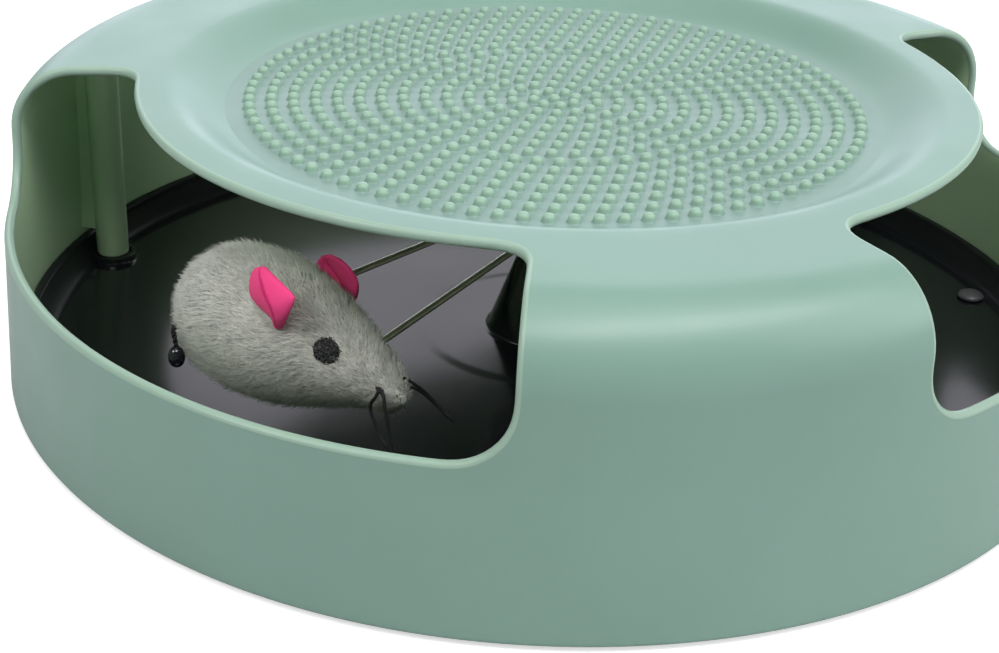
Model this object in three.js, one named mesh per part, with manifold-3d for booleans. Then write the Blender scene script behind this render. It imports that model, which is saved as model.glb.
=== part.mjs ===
// Round cat motion toy: a moulded drum with three paw windows, a studded massage pad on its roof,
// and a plush mouse on two steel rods that turns about a central pillar inside the drum.
// Millimetres, +Z up. Origin on the floor at the centre of the drum; the viewer stands towards -Y.
// Heights are measured from the drum's lower edge, and the feet lift the drum off the floor.

import * as THREE from "three";
import { mergeGeometries, mergeVertices } from "three/addons/utils/BufferGeometryUtils.js";
import Module from "manifold-3d";

const wasm = await Module();
wasm.setup();

// Housing
const housingRadius = 125;
const waistInset = 1.5;
const waistHeight = 33;
const wallTopInset = 1.7;
const wallTopHeight = 50;
const shoulderRadius = 15.3;
const shellThickness = 2.2;
const roofWidth = 20.4;
const lipRise = 0.4;
const slopeWidth = 13.2;
const creaseDepth = 6.2;
const lipCrestRun = 4.5;
const slopeFootRun = 4.5;
const slopeFootRise = 1;
const housingFacets = 64;
const shoulderSteps = 5;
const slopeSteps = 4;

// Paw windows
const windowCount = 3;
const windowAzimuth = -133.5;
const windowHalfAngle = 41.6;
const rimSetback = 6.1;
const rimBulge = 1;
const rimFillet = 6.5;
const sillHeight = 35.6;
const sillEndRise = 0.5;
const sillCornerRadius = 12;
const windowSlices = 24;

// Massage pad
const padThickness = 2.4;
const padBorder = 5.38;
const nubRings = 14;
const nubRadius = 1.35;
const nubHeight = 1.6;
const nubAzimuth = 16.4;
const innerRings = 7;
const nubsPerRingStep = 6;
const innerRingExtra = 2;
const outerRingExtra = 4;
const nubSides = 4;

// Base tray
const trayLift = 0.4;
const trayThickness = 2;
const trayRimHeight = 8.6;
const trayRimWidth = 2.5;
const trayRimRound = 0.7;
const trayCoveRun = 4;
const trayFacets = 48;
const rimRoundSteps = 2;
const coveSteps = 3;
const stepRadius = 29;
const stepRise = 0.8;
const stepSlope = 0.6;
const pillarFootRadius = 13.4;
const pillarFootFlare = 1.2;
const pillarNeckRadius = 6.4;
const pillarHalfAngle = 20;
const pillarChamfer = 0.6;

// Screw posts of the housing, and their sockets in the tray
const postCount = 3;
const postAzimuth = -73.5;
const postInset = 10.5;
const postRadius = 4;
const postFacets = 16;
const webThickness = 2;
const webFootHeight = 10;
const socketWall = 1.6;
const socketRise = 1.8;
const socketFloorRise = 1.2;
const pilotDepth = 16;

// Housing screws
const screwShankRadius = 1.5;
const screwHeadRadius = 3;
const screwHeadHeight = 1;
const screwHeadInset = 0.1;
const screwBite = 13;
const screwFacets = 16;

// Push-in rubber feet
const footCount = 3;
const footAzimuth = 14.5;
const footInset = 13;
const footProud = 1;
const footPadRadius = 5;
const footStemRadius = 1.6;
const footHeadRadius = 3.3;
const footHeadEdge = 0.6;
const footHeadHeight = 1.7;
const footFacets = 16;
const footDomeSteps = 2;

// Axle, and the rotor that turns on it
const axleRadius = 2;
const axleFootHeight = 10;
const axleTopGap = 4.6;
const axleChamfer = 0.5;
const washerRadius = 5.2;
const washerThickness = 0.8;
const hubRadius = 11;
const hubSkirtRadius = 12;
const hubSkirtHeight = 2;
const hubHeight = 8.4;
const hubChamfer = 0.8;
const capThickness = 1.8;
const capChamfer = 0.8;
const clipRadius = 4;
const clipThickness = 0.8;
const bossRadius = 5;
const bossClearHeight = 3;
const axleFacets = 24;

// Steel rods, level and straight, in a narrow V about the line from the axle to the mouse
const rodRadius = 0.75;
const rodSeatHeight = 4;
const rodAzimuth = -123.4;
const rodHalfAngle = 6;
const rodSpread = 5.3;
const rodInnerEnd = 0.5;
const rodSetback = 4.9;
const rodFacets = 10;

// Plush mouse, along a straight spine from rump to snout
const rumpAzimuth = -151.2;
const rumpInset = 38.1;
const snoutAzimuth = -106.5;
const snoutInset = 36.7;
const rodAboveSpine = 4.8;
const mouseHeadroom = 10.3;
const mouseHalfWidth = 15.7;
const snoutDrop = 2.4;
const mouseSections = 14;
const mouseFacets = 18;
const stationShares = [0, 0.04, 0.14, 0.3, 0.48, 0.66, 0.8, 0.9, 0.97, 1];
const girthShares = [0.04, 0.42, 0.83, 1, 0.96, 0.75, 0.55, 0.37, 0.22, 0.05];
const dropShares = [0, 0, 0, 0, 0, 0, 0.02, 0.3, 0.8, 1];

// Ears, whiskers, tail cord and bead
const earLength = 14.5;
const earWidth = 8;
const earCup = 5;
const earThickness = 1.7;
const earSunk = 3;
const earStationShare = 0.6;
const earFacets = 12;
const nearEarTurn = 131;
const farEarTurn = 49;
const earLean = 46;
const earToe = 26;
const whiskerRadius = 0.45;
const whiskerReach = 5.5;
const whiskerDrop = 11;
const whiskerBendReach = 3.7;
const whiskerBendDrop = 2.8;
const whiskerStationShare = 0.95;
const nearWhiskerTurn = 165;
const farWhiskerTurn = 30;
const whiskerStandOff = 0.8;
const threadSides = 6;
const threadSteps = 8;
const tailCordRadius = 0.6;
const tailStationShare = 0.17;
const tailRise = 2;
const tailStandOff = 1;
const tailDrop = 6.5;
const beadRadius = 1.8;
const beadHalfHeight = 2.3;
const beadBoreRadius = 0.7;
const beadFacets = 12;
const beadSteps = 6;

// Clearances and overruns
const seatGap = 0.3;
const runningGap = 0.3;
const cutOverrun = 1;
const joinOverrun = 0.5;
const mergeTolerance = 1e-4;

// Radii that follow from the sizes above
const waistRadius = housingRadius - waistInset;
const wallTopRadius = housingRadius - wallTopInset;
const roofEdgeRadius = wallTopRadius - shoulderRadius;
const innerShoulderRadius = shoulderRadius - shellThickness;
const lipRadius = roofEdgeRadius - roofWidth;
const rimRadius = lipRadius + rimSetback;
const creaseRadius = lipRadius - slopeWidth;
const nubPitch = (creaseRadius - padBorder) / nubRings;
const postPitchRadius = housingRadius - postInset;
const footPitchRadius = housingRadius - footInset;
const rumpRadius = housingRadius - rumpInset;
const snoutRadius = housingRadius - snoutInset;
const rodOuterEnd = rumpRadius - rodSetback;

// Heights that follow from the sizes above
const roofHeight = wallTopHeight + shoulderRadius;
const lipHeight = roofHeight + lipRise;
const creaseHeight = lipHeight - creaseDepth;
const padSeatHeight = creaseHeight - padThickness - seatGap;
const roofUnderside = padSeatHeight - shellThickness;
const trayFloorHeight = trayLift + trayThickness;
const stepHeight = trayFloorHeight + stepRise;
const socketFloorHeight = trayFloorHeight + socketFloorRise;
const postFootHeight = socketFloorHeight + seatGap;
const headRecessHeight = trayLift + screwHeadInset + screwHeadHeight + seatGap;
const pilotRadius = screwShankRadius + seatGap;
const spineHeight = roofUnderside - mouseHeadroom - mouseHalfWidth;
const rodHeight = spineHeight + rodAboveSpine;
const hubBase = rodHeight - rodSeatHeight;
const washerBase = hubBase - runningGap - washerThickness;
const pillarHeight = washerBase - seatGap;
const capBase = hubBase + hubHeight + seatGap;
const clipBase = capBase + capThickness + runningGap;
const bossFootHeight = clipBase + clipThickness + bossClearHeight;
const axleTopHeight = roofUnderside - axleTopGap;

const radians = THREE.MathUtils.degToRad;
const quarterTurn = Math.PI / 2;

const greenPlastic = { color: 0x87ab9c, roughness: 0.45, metalness: 0 };
const greenRubber = { color: 0x96bca6, roughness: 0.5, metalness: 0 };
const blackPlastic = { color: 0x14161a, roughness: 0.15, metalness: 0 };
const bareSteel = { color: 0x8f8a78, roughness: 0.3, metalness: 1 };
const blackRubber = { color: 0x2a2b2e, roughness: 0.7, metalness: 0 };
const greyPlush = { color: 0xa3a89e, roughness: 1, metalness: 0 };
const pinkFelt = { color: 0xff3f7f, roughness: 0.9, metalness: 0 };
const blackCord = { color: 0x121216, roughness: 0.6, metalness: 0 };

// Joining and cutting

function toSolid(geometry) {
  const bare = geometry.index ? geometry.toNonIndexed() : geometry.clone();
  bare.deleteAttribute("normal");
  bare.deleteAttribute("uv");
  const merged = mergeVertices(bare, mergeTolerance);
  const corners = merged.index.array;
  const kept = [];
  for (let first = 0; first < corners.length; first += 3) {
    const [a, b, c] = corners.slice(first, first + 3);
    if (a !== b && b !== c && c !== a) kept.push(a, b, c);
  }
  return new wasm.Manifold(new wasm.Mesh({
    numProp: 3,
    vertProperties: new Float32Array(merged.attributes.position.array),
    triVerts: new Uint32Array(kept),
  }));
}

function toGeometry(solid) {
  const mesh = solid.getMesh();
  const geometry = new THREE.BufferGeometry();
  geometry.setAttribute("position", new THREE.BufferAttribute(mesh.vertProperties, 3));
  geometry.setIndex(new THREE.BufferAttribute(mesh.triVerts, 1));
  geometry.computeVertexNormals();
  return geometry;
}

function joinAll(solid, pieces) {
  return pieces.reduce((whole, piece) => whole.add(toSolid(piece)), solid);
}

function cutAll(solid, cutters) {
  return cutters.reduce((whole, cutter) => whole.subtract(toSolid(cutter)), solid);
}

// Shapes. A profile is a list of [radius, height] points with the solid on its left.

function arc(centreRadius, centreHeight, radius, fromDegrees, toDegrees, steps) {
  return Array.from({ length: steps + 1 }, (_, step) => {
    const angle = radians(THREE.MathUtils.lerp(fromDegrees, toDegrees, step / steps));
    return [centreRadius + radius * Math.cos(angle), centreHeight + radius * Math.sin(angle)];
  });
}

function curvePoints(curve, steps) {
  return curve.getPoints(steps).map((point) => [point.x, point.y]);
}

function revolve(profile, facets) {
  const points = profile.map(([radius, height]) => new THREE.Vector2(radius, height));
  return new THREE.LatheGeometry(points, facets).rotateX(quarterTurn);
}

function column(radius, from, to, facets) {
  return revolve([[0, from], [radius, from], [radius, to], [0, to]], facets);
}

function ring(inner, outer, from, to, facets) {
  return revolve([[inner, from], [outer, from], [outer, to], [inner, to], [inner, from]], facets);
}

// Copies of a shape on a circle, with its own +X pointing outwards.
function around(geometry, count, firstAzimuth, radius) {
  return Array.from({ length: count }, (_, index) => {
    const azimuth = radians(firstAzimuth + index * 360 / count);
    return geometry.clone().translate(radius, 0, 0).rotateZ(azimuth);
  });
}

// The wall leans in from its lower edge to the waist, then stands almost upright.
function wallRadiusAt(height) {
  if (height < waistHeight) {
    return THREE.MathUtils.mapLinear(height, 0, waistHeight, housingRadius, waistRadius);
  }
  return THREE.MathUtils.mapLinear(height, waistHeight, wallTopHeight, waistRadius, wallTopRadius);
}

// Housing

// The S-shaped slope from the lip of the roof down to the crease round the pad.
function lipSlope(lowered) {
  return curvePoints(new THREE.CubicBezierCurve(
    new THREE.Vector2(lipRadius, lipHeight - lowered),
    new THREE.Vector2(lipRadius - lipCrestRun, lipHeight - lowered),
    new THREE.Vector2(creaseRadius + slopeFootRun, creaseHeight + slopeFootRise - lowered),
    new THREE.Vector2(creaseRadius, creaseHeight - lowered),
  ), slopeSteps);
}

function shellProfile() {
  const underside = [
    [housingRadius - shellThickness, 0],
    [waistRadius - shellThickness, waistHeight],
    ...arc(roofEdgeRadius, wallTopHeight, innerShoulderRadius, 0, 90, shoulderSteps),
    ...lipSlope(shellThickness).slice(0, -1),
    [creaseRadius + shellThickness, padSeatHeight],
    [creaseRadius, roofUnderside],
    [0, roofUnderside],
  ];
  const outside = [
    [housingRadius, 0],
    [waistRadius, waistHeight],
    ...arc(roofEdgeRadius, wallTopHeight, shoulderRadius, 0, 90, shoulderSteps),
    ...lipSlope(0),
    [creaseRadius, padSeatHeight],
    [0, padSeatHeight],
  ];
  return [...underside.reverse(), ...outside];
}

// The lower edge of a window, read along the wall: an almost level sill between two rounded corners.
function sillAt(azimuth) {
  const along = Math.abs(azimuth) * wallTopRadius;
  const cornerStart = wallTopRadius * radians(windowHalfAngle) - sillCornerRadius;
  const sillSlope = Math.atan(2 * sillEndRise / cornerStart);
  const sillEnd = cornerStart + sillCornerRadius * Math.sin(sillSlope);
  if (along < sillEnd) return sillHeight + sillEndRise * (along / sillEnd) ** 2;
  const cornerHeight = sillHeight + sillEndRise + sillCornerRadius * Math.cos(sillSlope);
  return cornerHeight - Math.sqrt(Math.max(0, sillCornerRadius ** 2 - (along - cornerStart) ** 2));
}

// The inner edge of a window, seen from above: the rim of the roof bulges a little between two fillets.
function rimAt(azimuth) {
  const filletCentre = rimRadius + rimFillet;
  const rimEnd = radians(windowHalfAngle) - Math.asin(rimFillet / filletCentre);
  const turn = Math.abs(azimuth) - rimEnd;
  if (turn < 0) return rimRadius + rimBulge * Math.cos(quarterTurn * azimuth / rimEnd) ** 2;
  const reach = Math.sqrt(Math.max(0, rimFillet ** 2 - (filletCentre * Math.sin(turn)) ** 2));
  return filletCentre * Math.cos(turn) - reach;
}

// A window is cut as upright radial slices, closest together where its corners turn.
function windowCutter() {
  const corners = [];
  for (let slice = 0; slice <= windowSlices; slice += 1) {
    const sweep = Math.sin(quarterTurn * (2 * slice / windowSlices - 1));
    const azimuth = radians(windowHalfAngle) * sweep;
    const [inner, outer] = [rimAt(azimuth), housingRadius + shoulderRadius];
    const [low, high] = [sillAt(azimuth), lipHeight + cutOverrun];
    for (const [reach, height] of [[inner, low], [outer, low], [outer, high], [inner, high]]) {
      corners.push(reach * Math.cos(azimuth), reach * Math.sin(azimuth), height);
    }
  }
  const faces = [0, 1, 2, 0, 2, 3];
  for (let slice = 0; slice < windowSlices; slice += 1) {
    for (let side = 0; side < 4; side += 1) {
      const [here, next] = [slice * 4 + side, slice * 4 + (side + 1) % 4];
      faces.push(here, here + 4, next + 4, here, next + 4, next);
    }
  }
  const last = windowSlices * 4;
  faces.push(last, last + 2, last + 1, last, last + 3, last + 2);
  const cutter = new THREE.BufferGeometry();
  cutter.setAttribute("position", new THREE.Float32BufferAttribute(corners, 3));
  cutter.setIndex(faces);
  return cutter;
}

// What stands in the drum ends just inside its wall and shoulder.
function insideOfDrum() {
  return toSolid(revolve([
    [0, 0],
    [housingRadius - shellThickness + joinOverrun, 0],
    [waistRadius - shellThickness + joinOverrun, waistHeight],
    ...arc(roofEdgeRadius, wallTopHeight, innerShoulderRadius + joinOverrun, 0, 90, shoulderSteps),
    [0, wallTopHeight + innerShoulderRadius + joinOverrun],
  ], housingFacets));
}

// The rib that ties a post to the wall and the roof.
function postWeb() {
  const [reach, height] = [housingRadius - postPitchRadius, roofHeight - webFootHeight];
  const web = new THREE.BoxGeometry(reach, webThickness, height);
  return web.translate(postPitchRadius + reach / 2, 0, webFootHeight + height / 2);
}

function housing() {
  const post = column(postRadius, postFootHeight, roofHeight, postFacets);
  const pilot = column(pilotRadius, postFootHeight - cutOverrun, postFootHeight + pilotDepth, postFacets);
  const boss = ring(axleRadius + runningGap, bossRadius, bossFootHeight, roofUnderside + joinOverrun, axleFacets);
  const shell = cutAll(
    toSolid(revolve(shellProfile(), housingFacets)),
    around(windowCutter(), windowCount, windowAzimuth, 0),
  );
  const posts = joinAll(toSolid(boss), [
    ...around(post, postCount, postAzimuth, postPitchRadius),
    ...around(postWeb(), postCount, postAzimuth, 0),
  ]);
  const whole = shell.add(posts.intersect(insideOfDrum()));
  return cutAll(whole, around(pilot, postCount, postAzimuth, postPitchRadius));
}

// Massage pad: rings of nubs, each ring with six more than the one inside it, round a centre nub.
function massagePad() {
  const plate = column(creaseRadius - seatGap, padSeatHeight + seatGap, creaseHeight, housingFacets);
  const nub = new THREE.ConeGeometry(nubRadius, nubHeight + joinOverrun, nubSides).rotateX(quarterTurn);
  nub.translate(0, 0, creaseHeight + (nubHeight - joinOverrun) / 2);
  const nubs = [nub];
  for (let index = 1; index <= nubRings; index += 1) {
    const extra = index > innerRings ? outerRingExtra : innerRingExtra;
    nubs.push(...around(nub, nubsPerRingStep * index + extra, nubAzimuth, nubPitch * index));
  }
  return joinAll(toSolid(plate), [mergeGeometries(nubs)]);
}

// Base tray

function pillarRadiusAt(height) {
  return pillarFootRadius - (height - stepHeight) * Math.tan(radians(pillarHalfAngle));
}

function trayProfile() {
  const rimOuterRadius = wallRadiusAt(trayRimHeight) - shellThickness - seatGap;
  const rimInnerRadius = rimOuterRadius - trayRimWidth;
  const rimRoundHeight = trayRimHeight - trayRimRound;
  const neckHeight = stepHeight + (pillarFootRadius - pillarNeckRadius) / Math.tan(radians(pillarHalfAngle));
  const coreTop = axleFootHeight - trayThickness;
  const rimCove = new THREE.QuadraticBezierCurve(
    new THREE.Vector2(rimInnerRadius, rimRoundHeight),
    new THREE.Vector2(rimInnerRadius - trayThickness, trayFloorHeight),
    new THREE.Vector2(rimInnerRadius - trayCoveRun, trayFloorHeight),
  );
  return [
    [0, coreTop],
    [pillarRadiusAt(coreTop) - trayThickness, coreTop],
    [pillarRadiusAt(trayFloorHeight) - trayThickness, trayLift],
    [wallRadiusAt(trayLift) - shellThickness - seatGap, trayLift],
    ...arc(rimOuterRadius - trayRimRound, rimRoundHeight, trayRimRound, 0, 90, rimRoundSteps),
    ...arc(rimInnerRadius + trayRimRound, rimRoundHeight, trayRimRound, 90, 180, rimRoundSteps),
    ...curvePoints(rimCove, coveSteps).slice(1),
    [stepRadius + stepSlope, trayFloorHeight],
    [stepRadius, stepHeight],
    [pillarFootRadius + pillarFootFlare, stepHeight],
    [pillarRadiusAt(stepHeight + pillarFootFlare), stepHeight + pillarFootFlare],
    [pillarNeckRadius, neckHeight],
    [pillarNeckRadius, pillarHeight - pillarChamfer],
    [pillarNeckRadius - pillarChamfer, pillarHeight],
    [0, pillarHeight],
  ];
}

function baseTray() {
  const socketInner = postRadius + seatGap;
  const socketTop = trayFloorHeight + socketRise;
  const socket = column(socketInner + socketWall, trayFloorHeight - joinOverrun, socketTop, postFacets);
  const socketBore = column(socketInner, socketFloorHeight, trayRimHeight + cutOverrun, postFacets);
  const screwHole = column(pilotRadius, -cutOverrun, socketFloorHeight + cutOverrun, postFacets);
  const headRecess = column(screwHeadRadius + seatGap, -cutOverrun, headRecessHeight, postFacets);
  const footHole = column(footStemRadius + seatGap, -cutOverrun, trayFloorHeight + cutOverrun, footFacets);
  const axleBore = column(axleRadius + seatGap, axleFootHeight, pillarHeight + cutOverrun, axleFacets);
  const sockets = around(socket, postCount, postAzimuth, postPitchRadius);
  return cutAll(joinAll(toSolid(revolve(trayProfile(), trayFacets)), sockets), [
    ...around(socketBore, postCount, postAzimuth, postPitchRadius),
    ...around(screwHole, postCount, postAzimuth, postPitchRadius),
    ...around(headRecess, postCount, postAzimuth, postPitchRadius),
    ...around(footHole, footCount, footAzimuth, footPitchRadius),
    axleBore,
  ]);
}

// Screws and feet

function housingScrew() {
  const headBase = trayLift + screwHeadInset;
  const headTop = headBase + screwHeadHeight;
  const shankTop = postFootHeight + screwBite;
  return toSolid(revolve([
    [0, headBase],
    [screwHeadRadius, headBase],
    [screwHeadRadius, headTop],
    [screwShankRadius, headTop],
    [screwShankRadius, shankTop - screwShankRadius],
    [0, shankTop],
  ], screwFacets));
}

function rubberFoot() {
  const padTop = trayLift - seatGap;
  const headBase = trayFloorHeight + seatGap;
  const dome = new THREE.QuadraticBezierCurve(
    new THREE.Vector2(footHeadRadius, headBase + footHeadEdge),
    new THREE.Vector2(footHeadRadius, headBase + footHeadHeight),
    new THREE.Vector2(0, headBase + footHeadHeight),
  );
  return toSolid(revolve([
    [0, -footProud],
    [footPadRadius, -footProud],
    [footPadRadius, padTop],
    [footStemRadius, padTop],
    [footStemRadius, headBase],
    [footHeadRadius, headBase],
    ...curvePoints(dome, footDomeSteps),
  ], footFacets));
}

// Axle and rotor

function axlePin() {
  const foot = axleFootHeight + seatGap;
  return toSolid(revolve([
    [0, foot],
    [axleRadius - axleChamfer, foot],
    [axleRadius, foot + axleChamfer],
    [axleRadius, axleTopHeight - axleChamfer],
    [axleRadius - axleChamfer, axleTopHeight],
    [0, axleTopHeight],
  ], axleFacets));
}

function axleRing(outer, from, thickness) {
  return toSolid(ring(axleRadius + runningGap, outer, from, from + thickness, axleFacets));
}

// One rod, or a wider one that bores its socket. The side is 1 for the front rod and -1 for the rear.
function rod(side, widened) {
  const length = rodOuterEnd - rodInnerEnd + widened;
  const bar = new THREE.CylinderGeometry(rodRadius + widened, rodRadius + widened, length, rodFacets);
  bar.rotateZ(quarterTurn).translate(rodInnerEnd + length / 2, 0, 0);
  bar.rotateZ(side * radians(rodHalfAngle)).translate(0, side * rodSpread, rodHeight);
  return bar.rotateZ(radians(rodAzimuth));
}

function rotorHub() {
  const bore = axleRadius + runningGap;
  const top = hubBase + hubHeight;
  const hub = revolve([
    [bore, hubBase],
    [hubSkirtRadius, hubBase],
    [hubSkirtRadius, hubBase + hubSkirtHeight],
    [hubRadius, hubBase + hubSkirtHeight + hubChamfer],
    [hubRadius, top],
    [bore, top],
    [bore, hubBase],
  ], axleFacets);
  return cutAll(toSolid(hub), [rod(1, seatGap), rod(-1, seatGap)]);
}

function hubCap() {
  const bore = axleRadius + runningGap;
  const top = capBase + capThickness;
  return toSolid(revolve([
    [bore, capBase],
    [hubRadius, capBase],
    [hubRadius, top - capChamfer],
    [hubRadius - capChamfer, top],
    [bore, top],
    [bore, capBase],
  ], axleFacets));
}

// Mouse, in its own frame: +X from rump to snout, +Y towards the axle, +Z up, spine on the X axis

const rump = new THREE.Vector2(rumpRadius, 0).rotateAround(new THREE.Vector2(), radians(rumpAzimuth));
const snout = new THREE.Vector2(snoutRadius, 0).rotateAround(new THREE.Vector2(), radians(snoutAzimuth));
const spine = snout.clone().sub(rump);
const mousePlace = new THREE.Matrix4().makeRotationZ(spine.angle()).setPosition(rump.x, rump.y, spineHeight);

function shareAt(shares, station) {
  const next = Math.max(1, stationShares.findIndex((share) => share >= station));
  const [from, to] = [stationShares[next - 1], stationShares[next]];
  return THREE.MathUtils.mapLinear(station, from, to, shares[next - 1], shares[next]);
}

// A point on the plush at a station along the spine, turned about it from +Y through +Z.
function skinPoint(station, turn, standOff) {
  const girth = mouseHalfWidth * shareAt(girthShares, station) + standOff;
  return new THREE.Vector3(
    spine.length() * station,
    girth * Math.cos(radians(turn)),
    girth * Math.sin(radians(turn)) - snoutDrop * shareAt(dropShares, station),
  );
}

// The stuffed body swells behind the ears and tapers to a drooping snout.
function stuffedBody(fattened) {
  const alongSpine = (shares, size) => new THREE.SplineCurve(
    shares.map((share, index) => new THREE.Vector2(spine.length() * stationShares[index], size * share)),
  ).getPoints(mouseSections);
  const girths = alongSpine(girthShares, mouseHalfWidth);
  const drops = alongSpine(dropShares, snoutDrop);
  const profile = girths.map((point) => [point.y + fattened, point.x]);
  const closed = [[0, profile[0][1] - fattened], ...profile, [0, profile.at(-1)[1] + fattened]];
  const body = revolve(closed, mouseFacets).rotateY(quarterTurn);
  const places = body.attributes.position;
  for (let index = 0; index < places.count; index += 1) {
    const along = places.getX(index);
    const after = Math.max(1, drops.findIndex((point) => point.x >= along));
    const [from, to] = [drops[after - 1], drops[after]];
    const drop = along >= spine.length() ? snoutDrop : THREE.MathUtils.mapLinear(along, from.x, to.x, from.y, to.y);
    places.setZ(index, places.getZ(index) - drop);
  }
  return body;
}

function mouseBody() {
  const toMouse = mousePlace.clone().invert();
  return cutAll(toSolid(stuffedBody(0)), [1, -1].map((side) => rod(side, seatGap).applyMatrix4(toMouse)));
}

// A cupped felt petal that leans back from its root and turns outwards, trimmed where it meets the plush.
function ear(turn) {
  const petal = new THREE.SphereGeometry(0.5, earFacets, earFacets / 2).rotateX(quarterTurn);
  petal.scale(earCup, earWidth, earLength);
  const hollow = petal.clone().translate(-earThickness, 0, 0);
  const cup = toGeometry(toSolid(petal).subtract(toSolid(hollow)));
  const side = Math.sign(Math.cos(radians(turn)));
  cup.translate(0, 0, earLength / 2 - earSunk).rotateZ(side * radians(earToe)).rotateY(-radians(earLean));
  const root = skinPoint(earStationShare, turn, 0);
  cup.translate(root.x, root.y, root.z);
  return toSolid(cup).subtract(toSolid(stuffedBody(seatGap)));
}

function thread(points, radius) {
  const section = new THREE.Shape();
  section.absarc(0, 0, radius, 0, 2 * Math.PI, false);
  const extrudePath = new THREE.CatmullRomCurve3(points);
  const shape = new THREE.Shape(section.getPoints(threadSides / 2).slice(0, -1));
  return toSolid(new THREE.ExtrudeGeometry(shape, { steps: threadSteps, extrudePath, bevelEnabled: false }));
}

// A whisker leaves the snout sideways and droops.
function whisker(turn, forward) {
  const root = skinPoint(whiskerStationShare, turn, whiskerStandOff);
  const outward = new THREE.Vector3(0, Math.sign(Math.cos(radians(turn))), 0);
  const along = new THREE.Vector3(forward, 0, 0);
  const middle = root.clone().addScaledVector(outward, whiskerBendReach);
  middle.addScaledVector(along, whiskerBendReach);
  middle.z -= whiskerBendDrop;
  const tip = root.clone().addScaledVector(outward, whiskerReach);
  tip.addScaledVector(along, whiskerReach);
  tip.z -= whiskerDrop;
  return thread([root, middle, tip], whiskerRadius);
}

const tailRoot = skinPoint(tailStationShare, 180, tailStandOff + tailCordRadius);
tailRoot.z += tailRise;
const beadCentre = tailRoot.clone();
beadCentre.z -= tailDrop + beadHalfHeight + seatGap;

function tailCord() {
  const foot = tailRoot.clone();
  foot.z -= tailDrop;
  return thread([tailRoot, tailRoot.clone().lerp(foot, 0.5), foot], tailCordRadius);
}

function tailBead() {
  const boreAngle = THREE.MathUtils.radToDeg(Math.acos(beadBoreRadius / beadRadius));
  const outside = arc(0, 0, beadRadius, -boreAngle, boreAngle, beadSteps);
  const stretch = beadHalfHeight / outside.at(-1)[1];
  const profile = outside.map(([radius, height]) => [radius, height * stretch]);
  const bead = revolve([...profile, profile[0]], beadFacets);
  return toSolid(bead.translate(beadCentre.x, beadCentre.y, beadCentre.z));
}

// Assembly

function addPiece(group, name, solid, finish) {
  const piece = new THREE.Mesh(toGeometry(solid), new THREE.MeshStandardMaterial(finish));
  piece.name = name;
  group.add(piece);
  return piece;
}

function addRing(group, name, solid, finish, count, firstAzimuth, radius) {
  for (let index = 0; index < count; index += 1) {
    const azimuth = radians(firstAzimuth + index * 360 / count);
    const piece = addPiece(group, `${name}_${index + 1}`, solid, finish);
    piece.position.set(radius * Math.cos(azimuth), radius * Math.sin(azimuth), 0);
    piece.rotation.z = azimuth;
  }
}

const toy = new THREE.Group();
toy.position.z = footProud;

addPiece(toy, "housing", housing(), greenPlastic);
addPiece(toy, "massage_pad", massagePad(), greenRubber);
addPiece(toy, "base_tray", baseTray(), blackPlastic);
addRing(toy, "housing_screw", housingScrew(), bareSteel, postCount, postAzimuth, postPitchRadius);
addRing(toy, "rubber_foot", rubberFoot(), blackRubber, footCount, footAzimuth, footPitchRadius);
addPiece(toy, "axle_pin", axlePin(), bareSteel);
addPiece(toy, "thrust_washer", axleRing(washerRadius, washerBase, washerThickness), bareSteel);
addPiece(toy, "axle_clip", axleRing(clipRadius, clipBase, clipThickness), bareSteel);

const rotor = new THREE.Group();
toy.add(rotor);
addPiece(rotor, "rotor_hub", rotorHub(), blackPlastic);
addPiece(rotor, "hub_cap", hubCap(), blackPlastic);
addPiece(rotor, "wire_front", toSolid(rod(1, 0)), bareSteel);
addPiece(rotor, "wire_rear", toSolid(rod(-1, 0)), bareSteel);

const mouse = new THREE.Group();
mouse.applyMatrix4(mousePlace);
rotor.add(mouse);
addPiece(mouse, "mouse_body", mouseBody(), greyPlush);
addPiece(mouse, "ear_near", ear(nearEarTurn), pinkFelt);
addPiece(mouse, "ear_far", ear(farEarTurn), pinkFelt);
addPiece(mouse, "whisker_near", whisker(nearWhiskerTurn, 0), blackCord);
addPiece(mouse, "whisker_far", whisker(farWhiskerTurn, 1), blackCord);
addPiece(mouse, "tail_cord", tailCord(), blackCord);
addPiece(mouse, "tail_bead", tailBead(), blackCord);

export default toy;
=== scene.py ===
# Looks of the round cat motion toy: a moulded drum, a studded pad, a glossy tray and a plush mouse.
# Lengths are in millimetres here and become metres where a mesh is made. Heights count from the
# drum's lower edge, which the feet hold one millimetre above the floor.

import math

import bpy
import numpy as np
from mathutils import Matrix, Vector
from mathutils.geometry import delaunay_2d_cdt


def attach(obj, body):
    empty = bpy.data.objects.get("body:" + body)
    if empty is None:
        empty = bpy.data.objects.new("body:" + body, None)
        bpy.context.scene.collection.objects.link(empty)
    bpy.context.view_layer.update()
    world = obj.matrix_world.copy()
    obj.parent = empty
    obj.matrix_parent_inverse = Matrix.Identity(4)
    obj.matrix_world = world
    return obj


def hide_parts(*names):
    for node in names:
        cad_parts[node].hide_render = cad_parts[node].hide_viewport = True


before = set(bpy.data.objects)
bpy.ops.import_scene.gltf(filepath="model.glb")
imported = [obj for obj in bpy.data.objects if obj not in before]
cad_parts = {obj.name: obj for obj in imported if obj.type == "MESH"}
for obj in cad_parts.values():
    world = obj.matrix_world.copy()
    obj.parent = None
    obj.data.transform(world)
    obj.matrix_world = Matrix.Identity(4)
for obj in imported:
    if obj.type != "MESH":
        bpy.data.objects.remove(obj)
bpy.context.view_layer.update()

MM = 0.001
FOOT_LIFT = 1.0
SEED = 7
FULL_TURN = 2 * math.pi

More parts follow.
